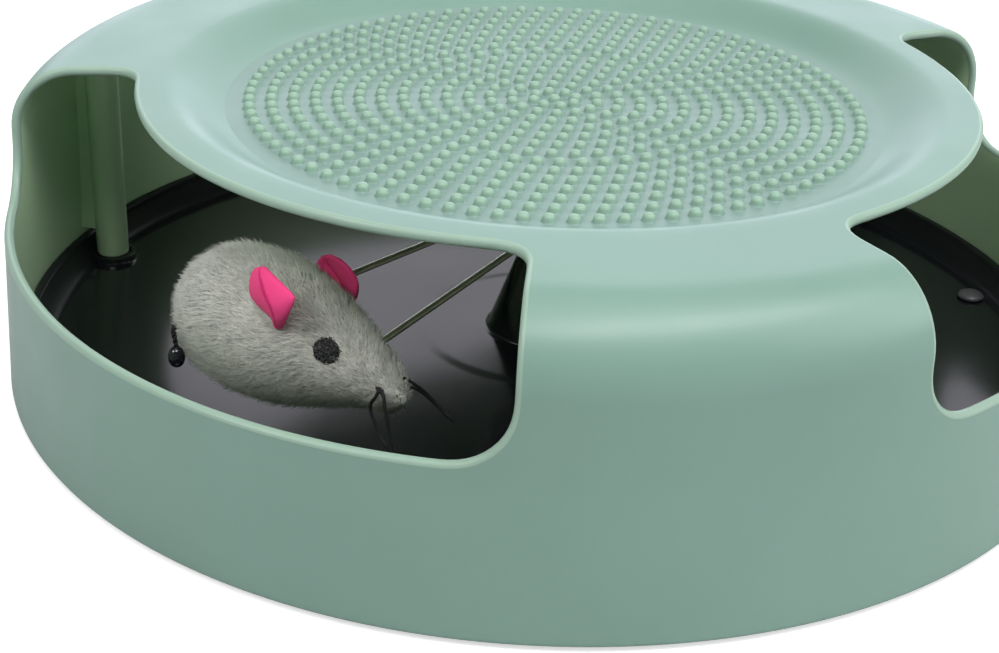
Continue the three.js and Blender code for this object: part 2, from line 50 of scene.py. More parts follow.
# Camera, as the photograph was taken
CAMERA_DISTANCE = 383.45
CAMERA_HEIGHT = 194.83
CAMERA_PITCH = 26.768
CAMERA_YAW = -1.406
CAMERA_ROLL = -2.950
FOCAL_PIXELS = 1768.26
PHOTO_WIDTH = 999
PHOTO_HEIGHT = 653
SENSOR_WIDTH = 36.0
CAMERA_CLIP = (0.01, 50)

# Housing
HOUSING_RADIUS = 125.0
WAIST_RADIUS = 123.5
WAIST_HEIGHT = 33.0
WALL_TOP_RADIUS = 123.3
WALL_TOP_HEIGHT = 50.0
SHOULDER_RADIUS = 15.3
SHELL = 2.2
LIP_RADIUS = 87.6
LIP_RISE = 0.4
CREASE_RADIUS = 74.4
CREASE_DEPTH = 6.2
LIP_CREST_RUN = 4.5
SLOPE_FOOT_RUN = 4.5
SLOPE_FOOT_RISE = 1.0
ROOF_HEIGHT = WALL_TOP_HEIGHT + SHOULDER_RADIUS
ROOF_EDGE_RADIUS = WALL_TOP_RADIUS - SHOULDER_RADIUS
LIP_HEIGHT = ROOF_HEIGHT + LIP_RISE
CREASE_HEIGHT = LIP_HEIGHT - CREASE_DEPTH
PAD_THICKNESS = 2.4
SEAT_GAP = 0.3
PAD_SEAT = CREASE_HEIGHT - PAD_THICKNESS - SEAT_GAP
ROOF_UNDERSIDE = PAD_SEAT - SHELL
EDGE_ROUND = 1.05
SINK_DEPTH = 0.035
SINK_WIDTH = 1.6

# How finely the shell is made: steps along its profile and its window outlines, the samples of the
# profile that keep rising, and the radius at which the shell is laid flat to be meshed
PROFILE_STEP = 0.2
PROFILE_WINDOW = 17
RISING = slice(0, 400)
OUTLINE_STEP = 1.7
FLAT_RADIUS = 115.0
HOLE_MARGIN = 0.8
THIRD_HALF = 60
FINE_GRID_START = 57.6
ROUND_STEPS = 240

# Windows
WINDOW_AZIMUTHS = (-133.5, -13.5, 106.5)
WINDOW_HALF = 41.6
RIM_RADIUS = 93.7
RIM_BULGE = 1.0
RIM_FILLET = 6.5
SILL_HEIGHT = 35.6
SILL_END_RISE = 0.5
SILL_CORNER = 12.0

# Pad
NUB_RINGS = 14
NUB_PITCH = 4.93
NUB_RADIUS = 1.33
NUB_HEIGHT = 1.68
NUB_AZIMUTH = 16.4
INNER_RINGS = 7

# Tray
TRAY_LIFT = 0.4
TRAY_THICKNESS = 2.0
TRAY_FLOOR = TRAY_LIFT + TRAY_THICKNESS
TRAY_RIM_HEIGHT = 8.6
TRAY_RIM_OUTER = 122.1
TRAY_RIM_WIDTH = 2.5
TRAY_RIM_ROUND = 0.7
TRAY_COVE_RUN = 4.0
STEP_RADIUS = 29.0
STEP_RISE = 0.8
STEP_SHOWN = 0.1
PILLAR_FOOT = 13.4
PILLAR_FLARE = 1.2
PILLAR_NECK = 6.4
PILLAR_TAN = math.tan(math.radians(20.0))
PILLAR_HEIGHT = 28.0

# Posts, screws and feet
POST_AZIMUTHS = (-73.5, 46.5, 166.5)
POST_PITCH = 114.5
POST_RADIUS = 4.0
POST_SIDES = 48
WEB_THICKNESS = 2.0
WEB_FOOT = 10.0
WEB_RISE = 13.4
WEB_REACH = 13.9
SKIN_OVERLAP = 0.8
SOCKET_WALL = 1.6
SOCKET_RISE = 1.8
SOCKET_FLOOR = TRAY_FLOOR + 1.2
SCREW_HOLE = 1.8
SCREW_HEAD = 3.0
SCREW_LENGTH = 13.0
SCREW_CORE = 1.2
SCREW_THREAD = 1.55
SCREW_PITCH = 0.68
FOOT_AZIMUTHS = (14.5, 134.5, -105.5)
FOOT_PITCH = 112.0
FOOT_RADIUS = 5.0
FOOT_STEM = 1.6
FOOT_HEAD = 3.3

# Axle and rotor
AXLE_RADIUS = 2.0
AXLE_FOOT = 10.0
AXLE_TOP = 50.0
BORE = AXLE_RADIUS + SEAT_GAP
BOSS_FOOT = 44.0
BOSS_RADIUS = 5.0
RING_THICKNESS = 0.8
WASHER_RADIUS = 5.2
WASHER_BASE = 28.3
CLIP_RADIUS = 4.0
CLIP_BASE = 40.2
HUB_BASE = 29.4
HUB_TOP = HUB_BASE + 8.4
HUB_RADIUS = 11.0
CAP_BASE = 38.1
ROD_RADIUS = 0.75
ROD_HEIGHT = 33.4
ROD_AZIMUTH = -123.4
ROD_HALF_ANGLE = 6.0
ROD_SPREAD = 5.3
ROD_INNER = 0.5
ROD_OUTER = 82.0

# Mouse, in its own frame: +X from rump to snout, +Y towards the axle, +Z up, spine on the X axis
RUMP = (86.9, -151.2)
SNOUT = (88.3, -106.5)
SPINE_HEIGHT = 28.6
HALF_WIDTH = 15.7
SNOUT_DROP = 2.4
STATION_SHARES = (0, 0.04, 0.14, 0.3, 0.48, 0.66, 0.8, 0.9, 0.97, 1)
GIRTH_SHARES = (0.04, 0.42, 0.83, 1, 0.96, 0.75, 0.55, 0.37, 0.22, 0.05)
DROP_SHARES = (0, 0, 0, 0, 0, 0, 0.02, 0.3, 0.8, 1)
CLOTH_INSET = 1.5

# Places on the mouse: the share of its spine and the turn about it, in degrees
TUCK = (0.549, 91)
BULGE_AHEAD = (0.582, 91)
CHEEK = (0.9, 150)
EYES = {"near": (0.762, 139.7), "far": (0.762, 8)}
EYE_HALF = (2.75, 2.55)

# Pile
TUFTS = 60000
PILE = 1.55
ROOT_DEPTH = 0.15
TUFT_LIFT = 58
LIFT_RANGE = (14, 88)
LEAN_SHARE = 0.45
STRAY_SHARE = 0.14
STRAY_LENGTH = 1.35
STRAY_LIFT = 76
TUFT_HALF = (0.05, 0.09)


# Camera

def camera_rows():
    """The camera's right, down and forward directions."""
    pitch, yaw, roll = (math.radians(a) for a in (CAMERA_PITCH, CAMERA_YAW, CAMERA_ROLL))
    forward = Vector((0, math.cos(pitch), -math.sin(pitch)))
    right = Vector((1, 0, 0))
    level = Matrix((right, forward.cross(right), forward))
    return Matrix.Rotation(-roll, 3, "Z") @ Matrix.Rotation(-yaw, 3, "Y") @ level


VIEW = camera_rows()


def make_camera():
    data = bpy.data.cameras.new("camera")
    data.sensor_fit = "HORIZONTAL"
    data.sensor_width = SENSOR_WIDTH
    data.lens = FOCAL_PIXELS / PHOTO_WIDTH * SENSOR_WIDTH
    data.clip_start, data.clip_end = CAMERA_CLIP
    camera = bpy.data.objects.new("camera", data)
    axes = Matrix((VIEW[0], -VIEW[1], -VIEW[2])).transposed().to_4x4()
    spot = Vector((0, -CAMERA_DISTANCE, CAMERA_HEIGHT + FOOT_LIFT)) * MM
    camera.matrix_world = Matrix.Translation(spot) @ axes
    bpy.context.scene.collection.objects.link(camera)
    bpy.context.scene.camera = camera


make_camera()


# Pieces

def make_piece(name, part, material, normals=None, smooth_angle=None):
    """A mesh object from points in millimetres above the drum's lower edge."""
    points, faces = part
    points = np.asarray(points, float) + (0, 0, FOOT_LIFT)
    mesh = bpy.data.meshes.new(name)
    mesh.from_pydata((points * MM).tolist(), [], [list(map(int, face)) for face in faces])
    mesh.update()
    mesh.shade_smooth()
    if smooth_angle is not None:
        mesh.set_sharp_from_angle(angle=math.radians(smooth_angle))
    if normals is not None:
        mesh.normals_split_custom_set_from_vertices(np.asarray(normals, float).tolist())
    mesh.materials.append(material)
    piece = bpy.data.objects.new(name, mesh)
    bpy.context.scene.collection.objects.link(piece)
    return piece


def finish_piece(piece, body, slot, *nodes):
    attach(piece, body)
    if nodes:
        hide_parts(*nodes)


def add_piece(name, part, material, body, slot, *nodes, smooth_angle=None):
    """Makes and finishes a piece of one material."""
    finish_piece(make_piece(name, part, material, smooth_angle=smooth_angle), body, slot, *nodes)


def other_material(piece, material, chosen):
    """Gives another material to the faces whose middle, in millimetres, is chosen."""
    piece.data.materials.append(material)
    for face in piece.data.polygons:
        face.material_index = int(chosen(face.center / MM))


def set_attribute(piece, name, kind, field, values):
    attribute = piece.data.attributes.new(name, kind, "POINT")
    attribute.data.foreach_set(field, np.asarray(values, np.float32).ravel())


# Parts: points and faces

def unit(vectors):
    return vectors / np.linalg.norm(vectors, axis=-1, keepdims=True)


def skin(rows, closed=False):
    """Faces between rings of point numbers. A ring of one repeated point ends in triangles."""
    faces = []
    for low, high in zip(rows, rows[1:] + (rows[:1] if closed else [])):
        for k in range(len(low)):
            m = (k + 1) % len(low)
            face = list(dict.fromkeys((low[k], low[m], high[m], high[k])))
            if len(face) > 2:
                faces.append(face)
    return faces


def rings(count, around):
    """Point numbers of rings that follow one another."""
    return np.arange(count * around).reshape(count, around).tolist()


def lathe(profile, segments, closed=False):
    """A [radius, height] profile turned about the Z axis."""
    angles = np.arange(segments) * FULL_TURN / segments
    points, rows = [], []
    for radius, height in np.asarray(profile, float):
        if radius < 1e-6:
            rows.append([len(points)] * segments)
            points.append((0, 0, height))
        else:
            rows.append(list(range(len(points), len(points) + segments)))
            points.extend((radius * math.cos(a), radius * math.sin(a), height) for a in angles)
    return np.array(points), skin(rows, closed)


def join(parts):
    """One part from several."""
    points, faces, start = [], [], 0
    for some, their_faces in parts:
        points.append(np.asarray(some, float))
        faces.extend([start + corner for corner in face] for face in their_faces)
        start += len(some)
    return np.concatenate(points), faces


def turned(points, degrees):
    """Points turned about the Z axis."""
    a = math.radians(degrees)
    spin = np.array(((math.cos(a), -math.sin(a), 0), (math.sin(a), math.cos(a), 0), (0, 0, 1)))
    return np.asarray(points) @ spin.T


def place(part, move=(0, 0, 0), turn=0.0):
    """A part moved, and then turned about the Z axis by degrees."""
    points, faces = part
    return turned(np.asarray(points) + move, turn), faces


def polar(radius, azimuth):
    angle = math.radians(azimuth)
    return np.array((radius * math.cos(angle), radius * math.sin(angle)))


def arc(centre, radius, start, end, steps):
    angles = np.radians(np.linspace(start, end, steps + 1))
    return [(centre[0] + radius * math.cos(a), centre[1] + radius * math.sin(a)) for a in angles]


def bezier(corners, steps):
    t = np.linspace(0, 1, steps + 1)[:, None]
    c = np.asarray(corners, float)
    if len(c) == 3:
        return list(map(tuple, (1 - t) ** 2 * c[0] + 2 * t * (1 - t) * c[1] + t ** 2 * c[2]))
    return list(map(tuple, (1 - t) ** 3 * c[0] + 3 * t * (1 - t) ** 2 * c[1]
                    + 3 * t ** 2 * (1 - t) * c[2] + t ** 3 * c[3]))


def rounded(corners, radius, steps=4):
    """A closed [radius, height] outline with its corners rounded off."""
    corners = [np.array(c, float) for c in corners]
    out = []
    for k, corner in enumerate(corners):
        before = corners[k - 1] - corner
        after = corners[(k + 1) % len(corners)] - corner
        reach = min(radius, 0.45 * np.linalg.norm(before), 0.45 * np.linalg.norm(after))
        out.extend(bezier((corner + unit(before) * reach, corner, corner + unit(after) * reach), steps))
    return out


def tube(path, radius, sides=10, taper=1.0):
    """A round tube along points, closed by a low cone at each end."""
    path = np.asarray(path, float)
    tangents = unit(np.gradient(path, axis=0))
    radii = radius * np.broadcast_to(taper, len(path))
    angles = np.arange(sides) * FULL_TURN / sides
    side = unit(np.cross(tangents[0], (0.3, 0.2, 0.93)))
    hoops = []
    for point, tangent, size in zip(path, tangents, radii):
        side = unit(side - tangent * side.dot(tangent))
        up = np.cross(tangent, side)
        hoops.append(point + size * (np.outer(np.cos(angles), side) + np.outer(np.sin(angles), up)))
    start = path[0] - tangents[0] * radii[0] * 0.5
    end = path[-1] + tangents[-1] * radii[-1] * 0.5
    points = np.concatenate([*hoops, [start], [end]])
    rows = [[len(points) - 2] * sides, *rings(len(hoops), sides), [len(points) - 1] * sides]
    return points, skin(rows)


def smooth_path(points, steps):
    """Points along a Catmull-Rom curve through the given ones."""
    p = np.asarray(points, float)
    p = np.vstack([2 * p[0] - p[1], p, 2 * p[-1] - p[-2]])
    out = []
    for k in range(1, len(p) - 2):
        for t in np.linspace(0, 1, steps, endpoint=False):
            out.append(0.5 * (2 * p[k] + (p[k + 1] - p[k - 1]) * t
                              + (2 * p[k - 1] - 5 * p[k] + 4 * p[k + 1] - p[k + 2]) * t ** 2
                              + (3 * p[k] - p[k - 1] - 3 * p[k + 1] + p[k + 2]) * t ** 3))
    out.append(p[-2])
    return np.array(out)


# Materials

def shader(material):
    return material.node_tree.nodes["Principled BSDF"]


def new_material(name, colour, roughness, metallic=0.0, specular=0.5, coat=0.0, sheen=0.0):
    material = bpy.data.materials.new(name)
    material.use_nodes = True
    sockets = {"Base Color": (*colour, 1), "Roughness": roughness, "Metallic": metallic,
               "Specular IOR Level": specular, "Coat Weight": coat, "Sheen Weight": sheen}
    for socket, value in sockets.items():
        shader(material).inputs[socket].default_value = value
    return material


def add_node(owner, kind, **values):
    """A node in the tree of a material or the world, with values for its sockets or settings."""
    node = owner.node_tree.nodes.new(kind)
    for name, value in values.items():
        if name in node.inputs:
            node.inputs[name].default_value = value
        else:
            setattr(node, name, value)
    return node


def link(owner, source, target):
    owner.node_tree.links.new(source, target)


def choose(owner, share, first, second):
    """One of two shaders, by a share."""
    mix = add_node(owner, "ShaderNodeMixShader")
    for source, target in zip((share, first, second), mix.inputs):
        link(owner, source, target)
    return mix.outputs["Shader"]


def coordinates(owner, kind="Object"):
    return add_node(owner, "ShaderNodeTexCoord").outputs[kind]


def noise(material, scale, detail):
    """A noise texture in the piece's own metres."""
    texture = add_node(material, "ShaderNodeTexNoise", Scale=scale, Detail=detail)
    link(material, coordinates(material), texture.inputs["Vector"])
    return texture.outputs["Fac"]


def spread(material, factor, low, high, to_low, to_high):
    """A factor spread from one range over another."""
    node = add_node(material, "ShaderNodeMapRange",
                    **{"From Min": low, "From Max": high, "To Min": to_low, "To Max": to_high})
    link(material, factor, node.inputs["Value"])
    return node.outputs["Result"]


def ramp(owner, factor, dark, light, low=0.3, high=0.7):
    """A colour between two colours, by a factor."""
    node = add_node(owner, "ShaderNodeValToRGB")
    for stop, colour, position in zip(node.color_ramp.elements, (dark, light), (low, high)):
        stop.position = position
        stop.color = (*colour, 1)
    link(owner, factor, node.inputs["Fac"])
    return node.outputs["Color"]


def tint(material, *shades):
    link(material, ramp(material, *shades), shader(material).inputs["Base Color"])


def bump(material, factor, strength, distance, before=None):
    node = add_node(material, "ShaderNodeBump", Strength=strength, Distance=distance)
    link(material, factor, node.inputs["Height"])
    if before is not None:
        link(material, before.outputs["Normal"], node.inputs["Normal"])
    link(material, node.outputs["Normal"], shader(material).inputs["Normal"])
    return node


def scaled(colour, amount):
    return tuple(c * amount for c in colour)


def surface(name, colour, roughness, grain=None, wear=None, bumps=(), **options):
    """A material whose tint, roughness and relief come from noise.

    Each of them starts with the scale and detail of its noise. Then grain has the darkest and the
    lightest share of the colour, wear the lowest and the highest roughness, and a bump its
    strength and its distance.
    """
    material = new_material(name, colour, roughness, **options)
    if grain:
        shades = scaled(colour, grain[2]), scaled(colour, grain[3])
        tint(material, noise(material, *grain[:2]), *shades)
    if wear:
        worn = spread(material, noise(material, *wear[:2]), 0.3, 0.7, *wear[2:])
        link(material, worn, shader(material).inputs["Roughness"])
    before = None
    for layer in bumps:
        before = bump(material, noise(material, *layer[:2]), *layer[2:], before)
    return material


GREEN = (0.186, 0.314, 0.258)
# Painted light: the inside of the shell, its posts and ribs take this much lighter green, standing in
# for light that comes through the thin wall
INSIDE_GREEN_PAINTED_LIGHT = (0.57, 0.79, 0.51)
# Painted highlight: the rounded edges of the windows take this lighter green
EDGE_HIGHLIGHT_GREEN = (0.275, 0.405, 0.320)
PAD_GREEN = (0.192, 0.300, 0.262)
# Painted light: the nubs take a lighter, yellower green than the pad plate, for their lit tops
NUB_LIT_GREEN = (0.265, 0.415, 0.318)
BLACK = (0.008, 0.009, 0.011)
RUBBER = (0.060, 0.062, 0.067)
ZINC = (0.55, 0.54, 0.52)
WIRE = (0.62, 0.60, 0.47)
THREAD = (0.006, 0.006, 0.008)
BEAD = (0.010, 0.011, 0.016)
PINK = (0.95, 0.055, 0.235)
CLOTH = (0.55, 0.57, 0.51)
PLUSH = (0.4, 0.41, 0.38)

SHELL_GRAIN = (22, 4, 0.97, 1.03)
SHELL_WEAR = (60, 5, 0.34, 0.42)
SHELL_SWELL = (45, 1, 0.10, 0.0004)
PAD_GRAIN = (30, 4, 0.96, 1.04)
PAD_SKIN = (1500, 3, 0.08, 0.00005)
TRAY_SKIN = (2400, 2, 0.02, 0.00002)

green_plastic = surface("green_plastic", GREEN, 0.38, SHELL_GRAIN, SHELL_WEAR,
                        (SHELL_SWELL, (3200, 2, 0.05, 0.00004)))
inside_painted_light_plastic = surface("green_inside_painted_light", INSIDE_GREEN_PAINTED_LIGHT, 0.42, SHELL_GRAIN, (60, 5, 0.38, 0.46),
                         (SHELL_SWELL,), specular=0.4)
edge_highlight_plastic = surface("green_edge_painted_highlight", EDGE_HIGHLIGHT_GREEN, 0.38, SHELL_GRAIN, SHELL_WEAR)
pad_plastic = surface("green_pad", PAD_GREEN, 0.42, PAD_GRAIN, (80, 4, 0.36, 0.46), (PAD_SKIN,),
                      specular=0.45)
nub_lit_plastic = surface("green_nub_painted_light", NUB_LIT_GREEN, 0.46, PAD_GRAIN, (80, 4, 0.42, 0.50), (PAD_SKIN,),
                      specular=0.4)
tray_plastic = surface("black_tray", BLACK, 0.14, (18, 4, 0.8, 1.3), (35, 5, 0.12, 0.18),
                       ((24, 1, 0.12, 0.0005), TRAY_SKIN))
rim_plastic = surface("black_tray_rim", BLACK, 0.34, None, (80, 4, 0.30, 0.40), (TRAY_SKIN,),
                      specular=0.22)
black_plastic = surface("black_plastic", BLACK, 0.3, None, (120, 4, 0.25, 0.36),
                        ((2500, 2, 0.1, 0.00004),))
steel = surface("steel", ZINC, 0.3, (400, 3, 0.85, 1.0), (900, 4, 0.24, 0.38),
                ((1800, 3, 0.08, 0.00003),), metallic=1.0)
rod_steel = surface("rod_steel", WIRE, 0.36, (60, 2, 0.95, 1.04), (60, 2, 0.35, 0.39),
                    ((2600, 2, 0.01, 0.00001),), metallic=1.0)
foot_rubber = surface("foot_rubber", RUBBER, 0.42, None, (500, 4, 0.35, 0.5),
                      ((1600, 3, 0.2, 0.00006),))
bead_material = surface("bead_plastic", BEAD, 0.12, None, (700, 3, 0.10, 0.16), coat=0.5)
backing = surface("plush_backing", CLOTH, 1.0, (700, 5, 0.6, 1.2), None,
                  ((2200, 4, 0.8, 0.0003),), specular=0.1, sheen=0.2)
eye_thread = surface("eye_thread", THREAD, 0.5, None, None, ((1700, 3, 0.8, 0.00025),),
                     specular=0.4, sheen=0.1)
# Painted highlight: light specks in the thread's colour stand in for the sheen of the stitches
tint(eye_thread, noise(eye_thread, 1900, 3), (0.008, 0.008, 0.010), (0.075, 0.076, 0.080), 0.50, 0.66)

thread_material = new_material("black_thread", THREAD, 0.55, specular=0.3, sheen=0.05)
twist = add_node(thread_material, "ShaderNodeTexWave", Scale=900.0, Distortion=2.0,
                 bands_direction="DIAGONAL")
link(thread_material, coordinates(thread_material), twist.inputs["Vector"])
bump(thread_material, twist.outputs["Fac"], 0.5, 0.00012)

# Painted shade: the felt is darker in its fold and a little on the left half of each ear, by a shade
# per point
felt = surface("pink_felt", PINK, 0.95, None, None, ((900, 4, 0.35, 0.0002), (4200, 3, 0.45, 0.0001)),
               specular=0.1, sheen=0.08)
fold_painted_shade = add_node(felt, "ShaderNodeAttribute", attribute_name="felt_painted_shade")
felt_grain = add_node(felt, "ShaderNodeMath", operation="MULTIPLY_ADD")
link(felt, noise(felt, 1400, 5), felt_grain.inputs[0])
felt_grain.inputs[1].default_value = 0.6
link(felt, fold_painted_shade.outputs["Fac"], felt_grain.inputs[2])
tint(felt, felt_grain.outputs["Value"], (0.62, 0.006, 0.11), (1.0, 0.080, 0.28), 0.2, 1.25)

# The pile takes its tone, which holds random mottling and painted shade, and its facing from each tuft
plush = new_material("grey_plush", PLUSH, 0.75, specular=0.25, sheen=0.25)
tuft_tone_and_painted_shade = add_node(plush, "ShaderNodeAttribute", attribute_name="tuft_tone_and_painted_shade")
tint(plush, tuft_tone_and_painted_shade.outputs["Fac"], (0.24, 0.25, 0.215), (0.90, 0.92, 0.83), 0.0, 1.0)
tuft_facing = add_node(plush, "ShaderNodeAttribute", attribute_name="tuft_facing")
to_room = add_node(plush, "ShaderNodeVectorTransform", vector_type="NORMAL",
                   convert_from="OBJECT", convert_to="WORLD")
link(plush, tuft_facing.outputs["Vector"], to_room.inputs["Vector"])
link(plush, to_room.outputs["Vector"], shader(plush).inputs["Normal"])


# Housing shell. Its surface is named by azimuth and by the length along the outside profile.

def read_columns(where, lengths, table):
    """Both columns of a table, read at lengths along it."""
    return [np.interp(where, lengths, table[:, k]) for k in (0, 1)]


def add_up(steps):
    """Lengths from the start of a line, from its steps."""
    return np.concatenate([[0], np.cumsum(np.linalg.norm(steps, axis=1))])


def outside_profile():
    """Lengths along the outside of the shell, its [radius, height] line and its normals."""
    wall = [(HOUSING_RADIUS, 0), (WAIST_RADIUS, WAIST_HEIGHT), (WALL_TOP_RADIUS, WALL_TOP_HEIGHT)]
    shoulder = arc((ROOF_EDGE_RADIUS, WALL_TOP_HEIGHT), SHOULDER_RADIUS, 0, 90, 32)[1:]
    slope = bezier((
        (LIP_RADIUS, LIP_HEIGHT),
        (LIP_RADIUS - LIP_CREST_RUN, LIP_HEIGHT),
        (CREASE_RADIUS + SLOPE_FOOT_RUN, CREASE_HEIGHT + SLOPE_FOOT_RISE),
        (CREASE_RADIUS, CREASE_HEIGHT),
    ), 32)
    corners = np.array(wall + shoulder + slope, float)
    lengths = add_up(np.diff(corners, axis=0))
    dense = np.arange(0, lengths[-1] + PROFILE_STEP / 2, PROFILE_STEP)
    dense = np.append(dense[dense < lengths[-1]], lengths[-1])
    line = np.stack(read_columns(dense, lengths, corners), 1)
    slopes = np.gradient(line, dense, axis=0)
    window = np.hanning(PROFILE_WINDOW)[1:-1]
    window /= window.sum()
    reach = len(window) // 2
    padded = np.pad(slopes, ((reach, reach), (0, 0)), mode="edge")
    soft = unit(np.stack([np.convolve(padded[:, k], window, "valid") for k in (0, 1)], 1))
    return dense, line, np.stack([soft[:, 1], -soft[:, 0]], 1)


ALONG, LINE, OUTWARD = outside_profile()
WALL_END = float(np.interp(WALL_TOP_HEIGHT, LINE[RISING, 1], ALONG[RISING]))
SHELL_END = float(ALONG[-1])


def along_at_height(height):
    wall = ALONG <= WALL_END + 0.1
    return np.interp(height, LINE[wall, 1], ALONG[wall])


def along_at_radius(radius):
    roof = ALONG >= WALL_END
    return np.interp(-np.asarray(radius), -LINE[roof, 0], ALONG[roof])


def sink_depth(azimuth, along):
    """The faint hollow that the ribs inside leave in the outer face of the wall."""
    offset = (np.degrees(azimuth) - POST_AZIMUTHS[0] + 60) % 120 - 60
    across = np.radians(offset) * WAIST_RADIUS
    height = np.interp(along, ALONG, LINE[:, 1])
    fade = np.clip((height - WEB_FOOT) / 8, 0, 1) * np.clip((WALL_END - along) / 10, 0, 1)
    return SINK_DEPTH * np.exp(-(across / SINK_WIDTH) ** 2) * fade


def shell_points(azimuth, along, depth):
    """Points and outward normals at a depth under the outside of the shell."""
    azimuth, along, depth = np.broadcast_arrays(azimuth, along, depth)
    radius, height = read_columns(along, ALONG, LINE)
    out, up = read_columns(along, ALONG, OUTWARD)
    sink = np.where(depth < 0.01, sink_depth(azimuth, along), 0)
    radius, height = radius - (depth + sink) * out, height - (depth + sink) * up
    points = np.stack([radius * np.cos(azimuth), radius * np.sin(azimuth), height], -1)
    return points, np.stack([out * np.cos(azimuth), out * np.sin(azimuth), up], -1)


def half_window():
    """Half the edge of a window: the sill, its corner, the upright end, the fillet and the rim."""
    half = math.radians(WINDOW_HALF)
    corner_start = WALL_TOP_RADIUS * half - SILL_CORNER
    slope = math.atan(2 * SILL_END_RISE / corner_start)
    sill_end = corner_start + SILL_CORNER * math.sin(slope)
    corner_height = SILL_HEIGHT + SILL_END_RISE + SILL_CORNER * math.cos(slope)
    side = []
    for across in np.linspace(0, sill_end, 60):
        height = SILL_HEIGHT + SILL_END_RISE * (across / sill_end) ** 2
        side.append((across / WALL_TOP_RADIUS, along_at_height(height)))
    for turn in np.linspace(slope, math.pi / 2, 16)[1:]:
        across = corner_start + SILL_CORNER * math.sin(turn)
        height = corner_height - SILL_CORNER * math.cos(turn)
        side.append((across / WALL_TOP_RADIUS, along_at_height(height)))
    centre = RIM_RADIUS + RIM_FILLET
    fillet_turn = math.asin(RIM_FILLET / centre)
    rim_end = half - fillet_turn
    top, bottom = float(along_at_radius(centre * math.cos(fillet_turn))), side[-1][1]
    side.extend((half, along) for along in np.linspace(bottom, top, 40)[1:])
    middle = np.array((centre * math.cos(rim_end), centre * math.sin(rim_end)))
    for turn in np.linspace(half + math.pi / 2, rim_end + math.pi, 14)[1:]:
        spot = middle + RIM_FILLET * np.array((math.cos(turn), math.sin(turn)))
        side.append((math.atan2(spot[1], spot[0]), float(along_at_radius(np.linalg.norm(spot)))))
    for azimuth in np.linspace(rim_end, 0, 50)[1:]:
        bulge = RIM_BULGE * math.cos(math.pi / 2 * azimuth / rim_end) ** 2
        side.append((azimuth, float(along_at_radius(RIM_RADIUS + bulge))))
    return np.array(side, float)


def window_outline():
    """The edge of a window as (azimuth from its middle, length along the profile)."""
    side = half_window()
    loop = np.concatenate([side, side[::-1][1:-1] * (-1, 1)])
    closed = np.vstack([loop, loop[:1]])
    radii = np.interp(closed[:, 1], ALONG, LINE[:, 0])
    scale = np.stack([(radii[:-1] + radii[1:]) / 2, np.ones(len(loop))], 1)
    lengths = add_up(np.diff(closed, axis=0) * scale)
    even = np.linspace(0, lengths[-1], int(lengths[-1] / OUTLINE_STEP) + 1)[:-1]
    loop = np.stack(read_columns(even, lengths, closed), 1)
    for _ in range(2):
        loop = (np.roll(loop, 1, 0) + 2 * loop + np.roll(loop, -1, 0)) / 4
    return loop


def loop_sideways(loop):
    """The direction across an outline, pointing from the hole into the shell."""
    radii = np.interp(loop[:, 1], ALONG, LINE[:, 0])
    scale = np.stack([radii, np.ones(len(loop))], 1)
    ahead = unit((np.roll(loop, -1, 0) - np.roll(loop, 1, 0)) * scale)
    return np.stack([ahead[:, 1] / radii, -ahead[:, 0]], 1)


def edge_section():
    """The rounded edge of the shell as (distance from the edge, depth, turn of the normal)."""
    turns = np.radians(np.linspace(0, 90, 5))
    outer = [(EDGE_ROUND * (1 - math.sin(t)), EDGE_ROUND * (1 - math.cos(t)), t) for t in turns]
    return outer + [(u, SHELL - d, math.pi - t) for u, d, t in outer[::-1]]


def inside_loop(points, loop):
    """Which points lie inside a closed outline."""
    inside = np.zeros(len(points), bool)
    x, y = points[:, 0], points[:, 1]
    for a, b in zip(loop, np.roll(loop, -1, 0)):
        crosses = (a[1] > y) != (b[1] > y)
        if crosses.any():
            level = (b[0] - a[0]) * (y - a[1]) / (b[1] - a[1] + 1e-12) + a[0]
            inside ^= crosses & (x < level)
    return inside


def shell_grid():
    """The places at which a third of the shell is meshed, and which of them lie on its border."""
    roof_edge = WALL_END + SHOULDER_RADIUS * math.pi / 2
    lip = float(along_at_radius(LIP_RADIUS))
    lows = np.concatenate([
        np.linspace(EDGE_ROUND, WALL_END - 1, 17),
        np.linspace(WALL_END, roof_edge, 17),
        np.linspace(roof_edge, lip, 9)[1:],
        np.linspace(lip, SHELL_END, 15)[1:],
    ])
    turns = np.radians(np.concatenate([
        np.linspace(-THIRD_HALF, -FINE_GRID_START, 7)[:-1],
        np.linspace(-FINE_GRID_START, FINE_GRID_START, 59),
        np.linspace(FINE_GRID_START, THIRD_HALF, 7)[1:],
    ]))
    grid = np.stack(np.meshgrid(turns, lows, indexing="ij"), -1).reshape(-1, 2)
    border = abs(abs(grid[:, 0]) - math.pi / 3) < 1e-9
    border |= (grid[:, 1] < EDGE_ROUND + 1e-9) | (grid[:, 1] > SHELL_END - 1e-9)
    return grid, border


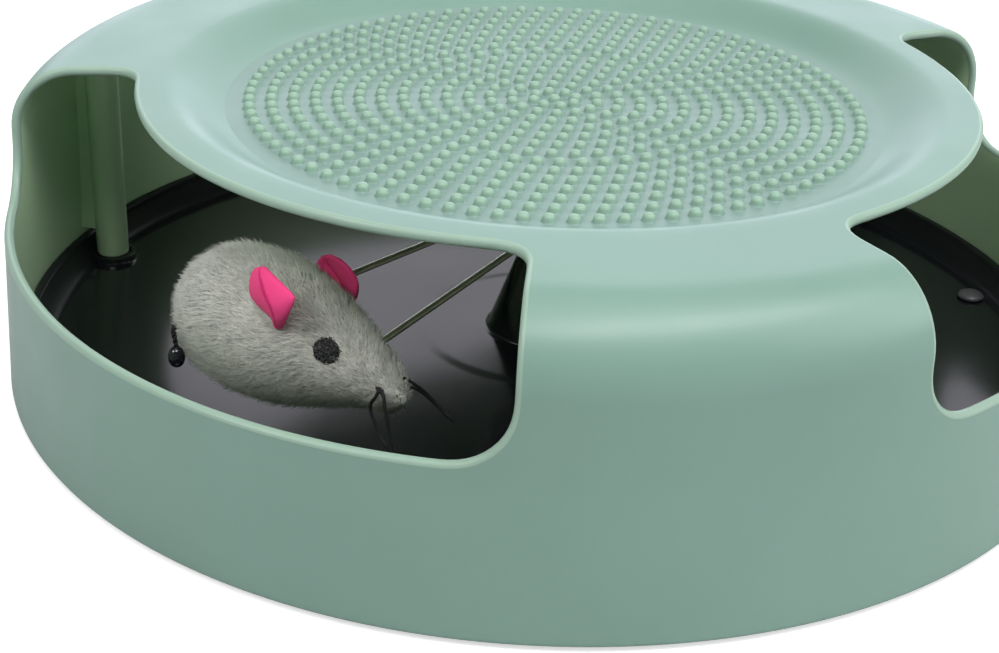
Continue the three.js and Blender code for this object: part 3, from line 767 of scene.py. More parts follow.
def flat_third(hole):
    """Places and triangles of a third of the shell, with a window's hole in it."""
    flat = np.array((FLAT_RADIUS, 1.0))
    grid, border = shell_grid()
    gaps = np.linalg.norm((grid[:, None] - hole[None]) * flat, axis=2).min(1)
    grid = grid[border | (~inside_loop(grid, hole) & (gaps > HOLE_MARGIN))]
    places = [Vector(p) for p in (np.concatenate([hole, grid]) * flat).tolist()]
    edges = [(k, (k + 1) % len(hole)) for k in range(len(hole))]
    spots, _, triangles, *_ = delaunay_2d_cdt(places, edges, [], 0, 1e-5)
    spots = np.array([tuple(s) for s in spots]) / flat
    triangles = np.array(triangles)
    triangles = triangles[~inside_loop(spots[triangles].mean(1), hole)]
    a, b, c = (spots[triangles[:, k]] * flat for k in range(3))
    area = (b[:, 0] - a[:, 0]) * (c[:, 1] - a[:, 1]) - (b[:, 1] - a[:, 1]) * (c[:, 0] - a[:, 0])
    triangles[area < 0] = triangles[area < 0][:, ::-1]
    return spots, triangles[abs(area) > 1e-6]


# Which material each face of the shell takes: outside, inside in a lighter green that is painted light,
# and round the windows in a lighter green that is a painted highlight
OUTER_ZONE, INNER_ZONE, EDGE_ZONE = 0, 1, 2


def housing_shell():
    """Points, normals, faces and zones of the shell, with its windows and rounded edges."""
    outline = window_outline()
    sideways = loop_sideways(outline)
    spots, triangles = flat_third(outline + sideways * EDGE_ROUND)
    points, normals, faces, zones = [], [], [], []

    def add(new_points, new_normals, new_faces, zone):
        start = sum(map(len, points))
        points.append(new_points)
        normals.append(new_normals)
        faces.extend(np.asarray(new_faces) + start)
        zones.extend([zone] * len(new_faces))

    def add_edge(ring_at, zone, away=None):
        """A rounded edge along the ring that lies at a reach from it."""
        rows, row_normals = [], []
        for reach, depth, turn in edge_section():
            spot, facing = shell_points(*ring_at(reach), depth)
            ahead = np.roll(spot, -1, 0) - np.roll(spot, 1, 0)
            across = unit(np.cross(ahead, facing)) if away is None else away
            rows.append(spot)
            row_normals.append(math.cos(turn) * facing - math.sin(turn) * across)
        new_faces = skin(rings(len(rows), len(rows[0])))
        spot, facing = np.concatenate(rows), np.concatenate(row_normals)
        a, b, c = (spot[new_faces[0][k]] for k in range(3))
        if np.cross(b - a, c - a).dot(facing[new_faces[0][0]]) < 0:
            new_faces = [face[::-1] for face in new_faces]
        add(spot, facing, new_faces, zone)

    for azimuth in np.radians(WINDOW_AZIMUTHS):
        outer, facing = shell_points(spots[:, 0] + azimuth, spots[:, 1], 0.0)
        inner, _ = shell_points(spots[:, 0] + azimuth, spots[:, 1], SHELL)
        add(outer, facing, triangles, OUTER_ZONE)
        add(inner, -facing, triangles[:, ::-1], INNER_ZONE)
        add_edge(lambda reach: (outline + sideways * reach + (azimuth, 0)).T, EDGE_ZONE)
    turns = np.radians(np.linspace(0, 360, 361)[:-1])
    add_edge(lambda reach: (turns, reach), OUTER_ZONE, np.array((0, 0, 1.0)))

    all_points, all_normals = np.concatenate(points), unit(np.concatenate(normals))
    _, first, same = np.unique(np.round(all_points, 3), axis=0, return_index=True, return_inverse=True)
    welded = [np.ravel(same)[np.asarray(face)] for face in faces]
    whole = [k for k, face in enumerate(welded) if len(set(face)) == len(face)]
    part = all_points[first], [welded[k] for k in whole]
    return part, all_normals[first], np.array([zones[k] for k in whole], np.int32)


def roof_middle():
    """The seat of the pad, the underside of the roof and the boss for the axle."""
    seat = [(CREASE_RADIUS, CREASE_HEIGHT), (CREASE_RADIUS - 0.15, CREASE_HEIGHT - 0.5),
            (CREASE_RADIUS - 0.15, PAD_SEAT), (0, PAD_SEAT)]
    under = [(0, ROOF_UNDERSIDE), (BORE, ROOF_UNDERSIDE), (BORE, BOSS_FOOT),
             (BOSS_RADIUS - 0.3, BOSS_FOOT), (BOSS_RADIUS, BOSS_FOOT + 0.3),
             (BOSS_RADIUS, ROOF_UNDERSIDE - 1), (BOSS_RADIUS + 1, ROOF_UNDERSIDE),
             (CREASE_RADIUS - 0.6, ROOF_UNDERSIDE), (CREASE_RADIUS + 0.48, ROOF_UNDERSIDE + 1.1),
             (CREASE_RADIUS + 0.48, CREASE_HEIGHT - SHELL + 0.05)]
    return join([lathe(seat, ROUND_STEPS), lathe(under, ROUND_STEPS)])


def under_shoulder(radius):
    """The height just inside the skin of the shoulder at a distance from the axis."""
    across = np.maximum(0, np.asarray(radius, float) - ROOF_EDGE_RADIUS)
    reach = SHOULDER_RADIUS - SHELL + SKIN_OVERLAP
    return WALL_TOP_HEIGHT + np.sqrt(np.maximum(0, reach ** 2 - across ** 2))


def post_part():
    """A screw post that flares into the shoulder above it."""
    foot = SOCKET_FLOOR + SEAT_GAP
    column = [(0, foot + 4), (SCREW_HOLE, foot + 4), (SCREW_HOLE, foot + 0.3), (2.1, foot),
              (POST_RADIUS - 0.5, foot), (POST_RADIUS - 0.15, foot + 0.15),
              (POST_RADIUS, foot + 0.5), (POST_RADIUS + 0.05, 52)]
    flare = [(POST_RADIUS + 0.1, 4.0), (POST_RADIUS + 0.35, 2.2), (POST_RADIUS + 0.9, 1.0),
             (POST_RADIUS + 1.8, 0.2)]
    profile = column + [(radius, ROOF_HEIGHT) for radius, _ in flare]
    points, faces = place(lathe(profile, POST_SIDES), (POST_PITCH, 0, 0))
    tops = points[-POST_SIDES * len(flare):]
    below = np.repeat([depth for _, depth in flare], POST_SIDES)
    tops[:, 2] = under_shoulder(np.hypot(tops[:, 0], tops[:, 1])) - below
    return points, faces


def web_part():
    """The rib between a post and the shell."""
    bend = WEB_RISE * np.sin(np.radians(np.linspace(8, 52, 10)))
    heights = np.concatenate([np.linspace(WEB_FOOT, WALL_TOP_HEIGHT, 12), WALL_TOP_HEIGHT + bend])
    half = WEB_THICKNESS / 2
    points, faces = [], []
    for height in heights:
        if height <= WALL_TOP_HEIGHT:
            skin_radius = float(np.interp(height, LINE[RISING, 1], LINE[RISING, 0]))
            reach = skin_radius - SHELL + SKIN_OVERLAP
        else:
            reach = ROOF_EDGE_RADIUS + math.sqrt(WEB_REACH ** 2 - (height - WALL_TOP_HEIGHT) ** 2)
        points.extend([(POST_PITCH, -half, height), (reach, -half - 0.15, height),
                       (reach, half + 0.15, height), (POST_PITCH, half, height)])
    for low in range(0, 4 * len(heights) - 4, 4):
        high = low + 4
        faces.append([low, low + 1, high + 1, high])
        faces.append([low + 2, low + 3, high + 3, high + 2])
    return np.array(points), faces + [[3, 2, 1, 0]]


shell_part, shell_normals, shell_zones = housing_shell()
drum_shell = make_piece("drum_shell", shell_part, green_plastic, normals=shell_normals)
# The inside faces take the lighter green, painted light
drum_shell.data.materials.append(inside_painted_light_plastic)
# The window edges take the lighter green, a painted highlight
drum_shell.data.materials.append(edge_highlight_plastic)
drum_shell.data.polygons.foreach_set("material_index", shell_zones)
finish_piece(drum_shell, "base", "green_plastic", "housing")

inside_parts = [roof_middle()]
for post_azimuth in POST_AZIMUTHS:
    inside_parts.extend(place(part, turn=post_azimuth) for part in (post_part(), web_part()))
# The roof underside, posts and ribs take the same painted-light green
add_piece("drum_inside", join(inside_parts), inside_painted_light_plastic, "base", "green_plastic", "housing",
          smooth_angle=40)


# Massage pad

def pad_part():
    edge = CREASE_RADIUS + 0.03
    plate = [(0, PAD_SEAT + SEAT_GAP), (edge - 0.3, PAD_SEAT + SEAT_GAP), (edge, CREASE_HEIGHT - 0.4),
             (edge, CREASE_HEIGHT), (edge - 1, CREASE_HEIGHT), (0, CREASE_HEIGHT)]
    nub = lathe([
        (NUB_RADIUS + 0.42, -0.02), (NUB_RADIUS + 0.16, 0.1), (NUB_RADIUS + 0.02, 0.34),
        (NUB_RADIUS, 0.72), (NUB_RADIUS * 0.9, 1.16), (NUB_RADIUS * 0.62, 1.5),
        (NUB_RADIUS * 0.3, NUB_HEIGHT - 0.03), (0, NUB_HEIGHT),
    ], 12)
    spots = [(0.0, 0.0)]
    for ring in range(1, NUB_RINGS + 1):
        count = 6 * ring + (2 if ring <= INNER_RINGS else 4)
        spots.extend(polar(ring * NUB_PITCH, NUB_AZIMUTH + k * 360 / count) for k in range(count))
    nubs = [place(nub, (x, y, CREASE_HEIGHT)) for x, y in spots]
    return join([lathe(plate, ROUND_STEPS), *nubs])


pad_studs = make_piece("pad_studs", pad_part(), pad_plastic, smooth_angle=50)
# Painted light: the nubs above their feet take the lighter green
lit_nub_start = CREASE_HEIGHT + FOOT_LIFT + NUB_HEIGHT * 0.2
other_material(pad_studs, nub_lit_plastic, lambda middle: middle.z > lit_nub_start)
finish_piece(pad_studs, "base", "green_pad", "massage_pad")


# Base tray

def pillar_radius(height):
    return PILLAR_FOOT - (height - TRAY_FLOOR - STEP_RISE) * PILLAR_TAN


def pan_profile():
    """The tray from the inside of its pillar, round its rim and up the outside of the pillar."""
    step = TRAY_FLOOR + STEP_SHOWN
    inner = TRAY_RIM_OUTER - TRAY_RIM_WIDTH
    round_height = TRAY_RIM_HEIGHT - TRAY_RIM_ROUND
    neck = step + (PILLAR_FOOT - PILLAR_NECK) / PILLAR_TAN
    flare_top = step + PILLAR_FLARE
    return [
        (0, AXLE_FOOT - TRAY_THICKNESS),
        (pillar_radius(AXLE_FOOT) - TRAY_THICKNESS, AXLE_FOOT - TRAY_THICKNESS),
        (pillar_radius(TRAY_FLOOR) - TRAY_THICKNESS, TRAY_LIFT),
        (TRAY_RIM_OUTER - 0.2, TRAY_LIFT), (TRAY_RIM_OUTER + 0.2, TRAY_LIFT + 0.4),
        *arc((TRAY_RIM_OUTER - TRAY_RIM_ROUND, round_height), TRAY_RIM_ROUND, 0, 90, 5),
        *arc((inner + TRAY_RIM_ROUND, round_height), TRAY_RIM_ROUND, 90, 180, 5),
        *bezier(((inner, round_height), (inner - TRAY_THICKNESS, TRAY_FLOOR),
                 (inner - TRAY_COVE_RUN, TRAY_FLOOR)), 10)[1:],
        *bezier(((STEP_RADIUS + 2.4, TRAY_FLOOR), (STEP_RADIUS + 1.1, TRAY_FLOOR),
                 (STEP_RADIUS - 0.1, step), (STEP_RADIUS - 1.4, step)), 10),
        *bezier(((PILLAR_FOOT + PILLAR_FLARE, step), (PILLAR_FOOT, step),
                 (pillar_radius(flare_top), flare_top)), 8),
        *bezier(((pillar_radius(neck - 2), neck - 2), (PILLAR_NECK, neck), (PILLAR_NECK, neck + 2)), 6),
        (PILLAR_NECK, PILLAR_HEIGHT - 0.6), (PILLAR_NECK - 0.2, PILLAR_HEIGHT - 0.2),
        (PILLAR_NECK - 0.6, PILLAR_HEIGHT), (AXLE_RADIUS + 0.1, PILLAR_HEIGHT),
        (AXLE_RADIUS + 0.1, AXLE_FOOT), (0, AXLE_FOOT),
    ]


def tray_part():
    """The pan, with a socket for each post and a recess for the screw under it."""
    inner = POST_RADIUS + SEAT_GAP
    outer = inner + SOCKET_WALL
    top = TRAY_FLOOR + SOCKET_RISE
    socket = [(0, SOCKET_FLOOR), (inner, SOCKET_FLOOR), (inner, top - 0.3), (inner + 0.3, top),
              (outer - 0.4, top), (outer - 0.1, top - 0.12), (outer, top - 0.4),
              (outer, TRAY_FLOOR + 0.5), (outer + 0.2, TRAY_FLOOR + 0.15),
              (outer + 0.7, TRAY_FLOOR - 0.02)]
    recess = [(3.9, TRAY_LIFT - 0.02), (3.4, TRAY_LIFT + 0.1), (3.3, TRAY_LIFT + 1.4),
              (0, TRAY_LIFT + 1.4)]
    parts = [lathe(pan_profile(), 256)]
    for azimuth in POST_AZIMUTHS:
        for part in (lathe(socket, 40), lathe(recess, 32)):
            parts.append(place(part, (POST_PITCH, 0, 0), azimuth))
    return join(parts)


tray_pan = make_piece("tray_pan", tray_part(), tray_plastic, smooth_angle=35)
rim_start = TRAY_RIM_OUTER - TRAY_RIM_WIDTH - TRAY_COVE_RUN
other_material(tray_pan, rim_plastic, lambda middle: math.hypot(middle.x, middle.y) > rim_start)
finish_piece(tray_pan, "base", "black_tray", "base_tray")


# Fasteners, feet, axle and hub

def screw_part():
    base = TRAY_LIFT + 0.1
    top = SOCKET_FLOOR + SEAT_GAP + SCREW_LENGTH
    head = [(0, base), (1.9, base), (2.6, base + 0.12), (SCREW_HEAD, base + 0.5),
            (SCREW_HEAD, base + 1), (1.5, base + 1.05)]
    thread = []
    for k in range(20):
        height = base + 1.6 + k * SCREW_PITCH
        if height < top - 1.6:
            thread += [(SCREW_CORE, height), (SCREW_THREAD, height + 0.3), (SCREW_CORE, height + 0.6)]
    return lathe(head + thread + [(SCREW_CORE, top - 1.4), (0, top)], 28)


def foot_part():
    head = TRAY_FLOOR + SEAT_GAP
    profile = [(0, -FOOT_LIFT), (FOOT_RADIUS - 0.4, -FOOT_LIFT), (FOOT_RADIUS - 0.1, -FOOT_LIFT + 0.15),
               (FOOT_RADIUS, -FOOT_LIFT + 0.45), (FOOT_RADIUS, 0.1), (FOOT_STEM, 0.1),
               (FOOT_STEM, head), (FOOT_HEAD - 0.2, head), (FOOT_HEAD, head + 0.2)]
    dome = bezier(((FOOT_HEAD, head + 0.3), (FOOT_HEAD - 0.05, head + 1.35), (0, head + 1.7)), 8)
    return lathe(profile + dome, 40)


def flat_ring(radius, base):
    """The outline of a thin ring round the axle."""
    top = base + RING_THICKNESS
    return rounded([(BORE, base), (radius, base), (radius, top), (BORE, top)], 0.15)


for k, azimuth in enumerate(POST_AZIMUTHS, 1):
    add_piece(f"screw_{k}", place(screw_part(), (POST_PITCH, 0, 0), azimuth), steel,
              "base", "steel", f"housing_screw_{k}", smooth_angle=35)
for k, azimuth in enumerate(FOOT_AZIMUTHS, 1):
    add_piece(f"foot_{k}", place(foot_part(), (FOOT_PITCH, 0, 0), azimuth), foot_rubber,
              "base", "foot_rubber", f"rubber_foot_{k}", smooth_angle=40)

pin = [(0, AXLE_FOOT + 0.3), (AXLE_RADIUS - 0.5, AXLE_FOOT + 0.3), (AXLE_RADIUS, AXLE_FOOT + 0.8),
       (AXLE_RADIUS, AXLE_TOP - 0.6), (AXLE_RADIUS - 0.15, AXLE_TOP - 0.2),
       (AXLE_RADIUS - 0.5, AXLE_TOP), (0, AXLE_TOP)]
hub = rounded([(BORE, HUB_BASE), (HUB_RADIUS + 1, HUB_BASE), (HUB_RADIUS + 1, HUB_BASE + 2),
               (HUB_RADIUS, HUB_BASE + 2.8), (HUB_RADIUS, HUB_TOP), (BORE, HUB_TOP)], 0.4)
cap = rounded([(BORE, CAP_BASE), (HUB_RADIUS, CAP_BASE), (HUB_RADIUS, CAP_BASE + 1),
               (HUB_RADIUS - 0.8, CAP_BASE + 1.8), (BORE, CAP_BASE + 1.8)], 0.4)
washer = flat_ring(WASHER_RADIUS, WASHER_BASE)
clip = flat_ring(CLIP_RADIUS, CLIP_BASE)
for name, part, material, body, slot, node in (
    ("axle", lathe(pin, 32), steel, "base", "steel", "axle_pin"),
    ("washer", lathe(washer, 40, True), steel, "base", "steel", "thrust_washer"),
    ("clip", lathe(clip, 40, True), steel, "base", "steel", "axle_clip"),
    ("hub", lathe(hub, 72, True), black_plastic, "rotor", "black_plastic", "rotor_hub"),
    ("cap", lathe(cap, 72, True), black_plastic, "rotor", "black_plastic", "hub_cap"),
):
    add_piece(name, part, material, body, slot, node, smooth_angle=35)


def rod_path(side):
    turn = math.radians(side * ROD_HALF_ANGLE)
    reach = np.linspace(ROD_INNER, ROD_OUTER, 24)
    across = reach * math.sin(turn) + side * ROD_SPREAD
    path = np.stack([reach * math.cos(turn), across, np.full(len(reach), ROD_HEIGHT)], 1)
    return turned(path, ROD_AZIMUTH)


for name, side in (("front", 1), ("rear", -1)):
    add_piece(f"rod_{name}", tube(rod_path(side), ROD_RADIUS, 20), rod_steel,
              "rotor", "rod_steel", f"wire_{name}", smooth_angle=60)


# Plush mouse

SPINE_START = polar(*RUMP)
SPINE = polar(*SNOUT) - SPINE_START
SPINE_LENGTH = float(np.linalg.norm(SPINE))
SPINE_X = np.array((*(SPINE / SPINE_LENGTH), 0))
SPINE_AXES = np.stack([SPINE_X, (-SPINE_X[1], SPINE_X[0], 0), (0, 0, 1.0)])
SPINE_ORIGIN = np.array((*SPINE_START, SPINE_HEIGHT))


def to_world(part):
    """A part of the mouse, moved out of the mouse's own frame."""
    points, faces = part
    return np.asarray(points, float) @ SPINE_AXES + SPINE_ORIGIN, faces


def soft_curve(shares, where):
    """A smooth curve through the shares at their stations."""
    stations, values = np.array(STATION_SHARES, float), np.array(shares, float)
    slopes = np.gradient(values, stations)
    where = np.clip(where, 0, 1)
    k = np.clip(np.searchsorted(stations, where, "right") - 1, 0, len(stations) - 2)
    step = stations[k + 1] - stations[k]
    t = (where - stations[k]) / step
    limit = 3 * abs(values[k + 1] - values[k]) / step + 1e-6
    a = np.clip(slopes[k], -limit, limit) * step
    b = np.clip(slopes[k + 1], -limit, limit) * step
    return ((2 * t ** 3 - 3 * t ** 2 + 1) * values[k] + (t ** 3 - 2 * t ** 2 + t) * a
            + (3 * t ** 2 - 2 * t ** 3) * values[k + 1] + (t ** 3 - t ** 2) * b)


def lumps(points, scale, seed):
    """A smooth made-up relief, between about -1 and 1."""
    rng = np.random.default_rng(seed)
    total = np.zeros(len(points))
    for _ in range(6):
        wave = rng.normal(size=3) / scale
        total += np.sin(points @ wave + rng.uniform(0, 6.28))
    return total / 6


def relief(points, *waves, start=0.0):
    """Lumps of several sizes on a start. Each wave is (amount, scale, seed)."""
    return sum((amount * lumps(points, scale, seed) for amount, scale, seed in waves), start)


def closeness(station, turn, spot, reach):
    """How near places on the body lie to a spot, from 0 to 1."""
    along = np.exp(-((station - spot[0]) / reach[0]) ** 2)
    return along * np.exp(-((turn - spot[1]) / reach[1]) ** 2)


def body_point(station, turn):
    """A point on the cloth of the mouse, under its pile, in its own frame."""
    station, turn = np.broadcast_arrays(np.asarray(station, float), np.asarray(turn, float))
    share = soft_curve(GIRTH_SHARES, station)
    girth = HALF_WIDTH * share - CLOTH_INSET * np.clip(share * 2, 0, 1)
    drop = SNOUT_DROP * soft_curve(DROP_SHARES, station)
    angle = np.radians(turn)
    along = SPINE_LENGTH / 2 + (SPINE_LENGTH - 2 * CLOTH_INSET) * (station - 0.5)
    points = np.stack([along, girth * np.cos(angle), girth * np.sin(angle) - drop], -1)
    depth = relief(points.reshape(-1, 3), (0.45, 7, 3), (0.2, 3, 5)).reshape(station.shape)
    depth = depth * np.clip(share, 0, 1)
    depth = depth - 1.2 * closeness(station, turn, TUCK, (0.013, 14))
    depth = depth + 0.8 * closeness(station, turn, BULGE_AHEAD, (0.022, 20))
    depth = depth - 0.3 * closeness(station, turn, CHEEK, (0.05, 22))
    out = np.stack([np.zeros_like(angle), np.cos(angle), np.sin(angle)], -1)
    return points + out * depth[..., None]


def body_part(rows=96, around=96):
    stations = 0.5 - 0.5 * np.cos(np.linspace(0.03, math.pi - 0.03, rows))
    turns = np.arange(around) * 360 / around
    grid = body_point(stations[:, None], turns[None, :])
    ends = [body_point(0, 0) * (1, 0, 0), body_point(1, 0) * (1, 0, 1)]
    points = np.vstack([grid.reshape(-1, 3), ends])
    hoops = [[len(points) - 2] * around, *rings(rows, around), [len(points) - 1] * around]
    return points, [face[::-1] for face in skin(hoops)]


def seen(pixels, lateral):
    """Mouse-frame points that show at the photo's pixels, at distances sideways of the spine."""
    pixels = np.asarray(pixels, float)
    across = (pixels[..., 0] - PHOTO_WIDTH / 2) / FOCAL_PIXELS
    down = (pixels[..., 1] - PHOTO_HEIGHT / 2) / FOCAL_PIXELS
    rays = np.stack([across, down, np.ones_like(across)], -1) @ np.array(VIEW) @ SPINE_AXES.T
    eye = SPINE_AXES @ (np.array((0, -CAMERA_DISTANCE, CAMERA_HEIGHT)) - SPINE_ORIGIN)
    reach = (np.asarray(lateral, float) - eye[1]) / rays[..., 1]
    return eye + rays * reach[..., None]


def frame_at(station, turn):
    """Point, along, sideways and outward directions on the cloth."""
    here = body_point(station, turn)
    ahead = body_point(station + 0.004, turn) - here
    across = body_point(station, turn + 1.5) - here
    out = unit(np.cross(ahead, across))
    out = np.where((out * here * (0, 1, 1)).sum(-1, keepdims=True) < 0, -out, out)
    ahead = unit(ahead)
    return here, ahead, np.cross(out, ahead), out


def tuft_places(rng):
    """Where the tufts stand, all over the body and outside the eyes."""
    station = rng.uniform(0.0, 1.0, TUFTS * 3)
    girth = soft_curve(GIRTH_SHARES, station)
    station = station[rng.uniform(0, 1, len(station)) < girth + 0.12][:TUFTS]
    turn = rng.uniform(0, 360, len(station))
    keep = np.ones(len(station), bool)
    for eye_station, eye_turn in EYES.values():
        dx = (station - eye_station) * SPINE_LENGTH
        dy = np.radians((turn - eye_turn + 180) % 360 - 180) * HALF_WIDTH * 0.62
        keep &= (dx / (EYE_HALF[0] - 0.2)) ** 2 + (dy / (EYE_HALF[1] - 0.2)) ** 2 > 1
    return station[keep], turn[keep]


def pile():
    """Tufts of pile, combed from the snout back to the rump, with their tones, which hold painted
    shade, and their facings.
    """
    rng = np.random.default_rng(SEED)
    station, turn = tuft_places(rng)
    here, ahead, side, out = frame_at(station, turn)
    count = len(here)
    swirl = relief(here, (0.7, 9, 21), (0.4, 3.2, 22), (0.45, 0.5, 23)) + rng.normal(0, 0.22, count)
    comb = -ahead * np.cos(swirl)[:, None] + side * np.sin(swirl)[:, None] + np.array((0, 0, -0.18))
    comb = unit(comb - out * (comb * out).sum(1, keepdims=True))
    lift = relief(here, (12, 4, 31), (26, 0.45, 32), start=TUFT_LIFT) + rng.normal(0, 12, count)
    lift = np.radians(np.clip(lift, *LIFT_RANGE))
    front = np.clip((station - 0.62) / 0.3, 0, 1)
    length = PILE * (1.12 - 0.2 * front) * rng.uniform(0.8, 1.2, count)
    stray = rng.uniform(0, 1, count) < STRAY_SHARE
    length = np.where(stray, length * STRAY_LENGTH, length)
    lift = np.where(stray, math.radians(STRAY_LIFT), lift)
    rise = out * np.sin(lift)[:, None] + comb * np.cos(lift)[:, None]
    leant = lift * LEAN_SHARE
    lean = out * np.sin(leant)[:, None] + comb * np.cos(leant)[:, None]
    root = here - out * ROOT_DEPTH
    middle = root + rise * (length * 0.55)[:, None]
    tip = middle + lean * (length * 0.55)[:, None]
    width = unit(np.cross(rise, out) + rng.normal(0, 0.25, here.shape))
    width = width * rng.uniform(*TUFT_HALF, count)[:, None]
    upper = width * 0.8
    points = np.stack([root - width, root + width, middle - upper, middle + upper, tip], 1)
    starts = np.arange(count)[:, None] * 5
    faces = np.concatenate([starts + corners for corners in ((0, 1, 3), (0, 3, 2), (2, 3, 4))])
    shade = relief(here, (0.14, 1.9, 41), (0.09, 7, 42), (0.24, 0.4, 43), start=0.64)
    shade = shade + rng.normal(0, 0.13, count)
    # Painted shade in the tuck between the ears
    shade = shade - 0.3 * closeness(station, turn, TUCK, (0.009, 13))
    # Painted shade over the snout, darker towards its end
    shade = shade - 0.42 * np.clip((station - 0.58) / 0.35, 0, 1)
    # Painted shade at the root of each tuft and painted light at its tip
    shades = np.stack([shade - 0.14, shade - 0.14, shade, shade, shade + 0.10], 1)
    top = np.exp(-((turn - 75) / 42) ** 2)[:, None]
    facing = unit(out * 0.8 + rise * 0.35 - top * (0, 0.75, 0))
    return (points.reshape(-1, 3), faces), np.clip(shades, 0, 1), np.repeat(facing, 5, 0) @ SPINE_AXES


mouse = make_piece("mouse_cloth", to_world(body_part()), backing)
finish_piece(mouse, "rotor", "grey_plush", "mouse_body")

pile_part, pile_tone_and_painted_shade, pile_facing = pile()
fur = make_piece("mouse_pile", to_world(pile_part), plush, normals=pile_facing)
set_attribute(fur, "tuft_facing", "FLOAT_VECTOR", "vector", pile_facing)
set_attribute(fur, "tuft_tone_and_painted_shade", "FLOAT", "value", pile_tone_and_painted_shade)
finish_piece(fur, "rotor", "grey_plush", "mouse_body")


# Eyes, stitched in thread

DOME_HALF = (3.1, 2.9)
DOME_RISE = 0.95
DOME_RINGS = 10
DOME_SIDES = 36
STITCH_POINTS = 7

# Angle, distance apart and lift of each layer of stitches
STITCH_LAYERS = ((20, 0.36, 0.02), (-38, 0.42, 0.16), (70, 0.62, 0.26))


def eye_part(station, turn, seed):
    rng = np.random.default_rng(seed)
    out = frame_at(station, turn)[3]
    wave = np.sin(np.linspace(0, math.pi, STITCH_POINTS))

    def on_dome(x, y, lift):
        x, y = np.asarray(x, float), np.asarray(y, float)
        spots = body_point(station + x / SPINE_LENGTH, turn - np.degrees(y / (HALF_WIDTH * 0.53)))
        spare = np.clip(1 - (x / DOME_HALF[0]) ** 2 - (y / DOME_HALF[1]) ** 2, 0, 1)
        return spots + out * (DOME_RISE * np.sqrt(spare) + lift)[..., None]

    points, faces = [on_dome(0, 0, 0.0)], []
    angles = np.arange(DOME_SIDES) * FULL_TURN / DOME_SIDES
    for ring in range(1, DOME_RINGS + 1):
        share = ring / DOME_RINGS
        x, y = EYE_HALF[0] * share * np.cos(angles), EYE_HALF[1] * share * np.sin(angles)
        points.extend(on_dome(x, y, 0.0))
    for k in range(DOME_SIDES):
        m = (k + 1) % DOME_SIDES
        faces.append([0, 1 + k, 1 + m])
        for start in range(1, 1 + (DOME_RINGS - 1) * DOME_SIDES, DOME_SIDES):
            a, b = start + k, start + m
            faces.append([a, a + DOME_SIDES, b + DOME_SIDES, b])
    parts = [(np.array(points), faces)]
    for layer, (angle, gap, lift) in enumerate(STITCH_LAYERS):
        turn_by = math.radians(angle)
        for offset in np.arange(-2.5, 2.55, gap):
            spare = 1 - (offset / EYE_HALF[1]) ** 2
            if spare <= 0.02:
                continue
            reach = EYE_HALF[0] * math.sqrt(spare) * rng.uniform(0.86, 1.12)
            ends = [-1, *sorted(rng.uniform(-0.8, 0.8, 1 + 2 * layer)), 1]
            for start, end in zip(ends, ends[1:]):
                t = np.linspace(start * reach, end * reach, STITCH_POINTS)
                bow = offset + rng.normal(0, 0.1) + rng.normal(0, 0.16) * wave
                x = t * math.cos(turn_by) - bow * math.sin(turn_by)
                y = t * math.sin(turn_by) + bow * math.cos(turn_by)
                arch = rng.uniform(0.1, 0.3) * wave + lift + rng.uniform(-0.05, 0.08)
                taper = (0.5, 1, 1, 1, 1, 1, 0.5)
                parts.append(tube(on_dome(x, y, arch), rng.uniform(0.14, 0.2), 6, taper))
    return join(parts)


for name, (station, turn) in EYES.items():
    stitched = eye_part(station, turn, SEED + int(turn))
    add_piece(f"eye_{name}", to_world(stitched), eye_thread, "rotor", "black_thread", smooth_angle=70)


# Ears, folded out of felt

FELT_THICKNESS = 1.0
FELT_EDGE = 0.45
LEFT_TO_FOLD = (0, 0.2, 0.4, 0.6, 0.78, 0.93)
FELT_BULGE = (0.6, -0.5, 0.4)
# Painted shade across each ear, from its left edge over the fold to its right edge: darkest in the fold
FELT_PAINTED_SHADES = (0.85, 0.85, 0.85, 0.85, 0.8, 0.4, 0.0, 0.5, 0.95, 1, 1, 1, 1)

# Left edge, fold and right edge of each ear: two photo pixels and the distance sideways of the spine
EAR_ROWS = {
    "near": (
        ((275, 327, -9.3), (277.5, 328.5, -9.8), (281, 327, -9.5)),
        ((274, 320, -10.3), (276, 320.5, -11.6), (286, 322, -10.6)),
        ((270, 315.5, -10.5), (274.5, 314, -12.2), (288.9, 315.3, -11.2)),
        ((262, 309, -10.5), (272, 306, -12.5), (292, 308, -11.3)),
        ((254.5, 301.5, -10.2), (269, 299.5, -12.4), (294.8, 301, -11.2)),
        ((250.3, 294.5, -10.0), (265.5, 291.5, -12.1), (294.6, 295.5, -11.0)),
        ((249.4, 284, -9.7), (262.8, 281.5, -11.6), (284, 284.5, -10.8)),
        ((252, 273.5, -9.5), (261.5, 274.5, -10.8), (272, 273, -10.3)),
        ((257, 267.5, -9.6), (262, 266, -10.0), (266.5, 268, -10.0)),
    ),
    "far": (
        ((343, 298, 10.6), (348, 302, 11.2), (354.6, 303.5, 11.2)),
        ((337, 291, 10.2), (348, 296, 11.4), (357.5, 297, 10.8)),
        ((330, 283, 9.8), (346, 287, 11.2), (358.9, 288, 10.3)),
        ((323.5, 275, 9.5), (341, 278, 10.9), (357.5, 279.5, 10.0)),
        ((318.5, 268.5, 9.4), (335, 270, 10.5), (353, 271.5, 9.8)),
        ((317, 263, 9.4), (330, 264, 10.2), (346, 263.5, 9.6)),
        ((320, 258.3, 9.4), (328, 258.5, 9.8), (338, 257.4, 9.5)),
        ((325, 255.4, 9.4), (327.5, 255, 9.5), (330.5, 254.8, 9.5)),
    ),
}


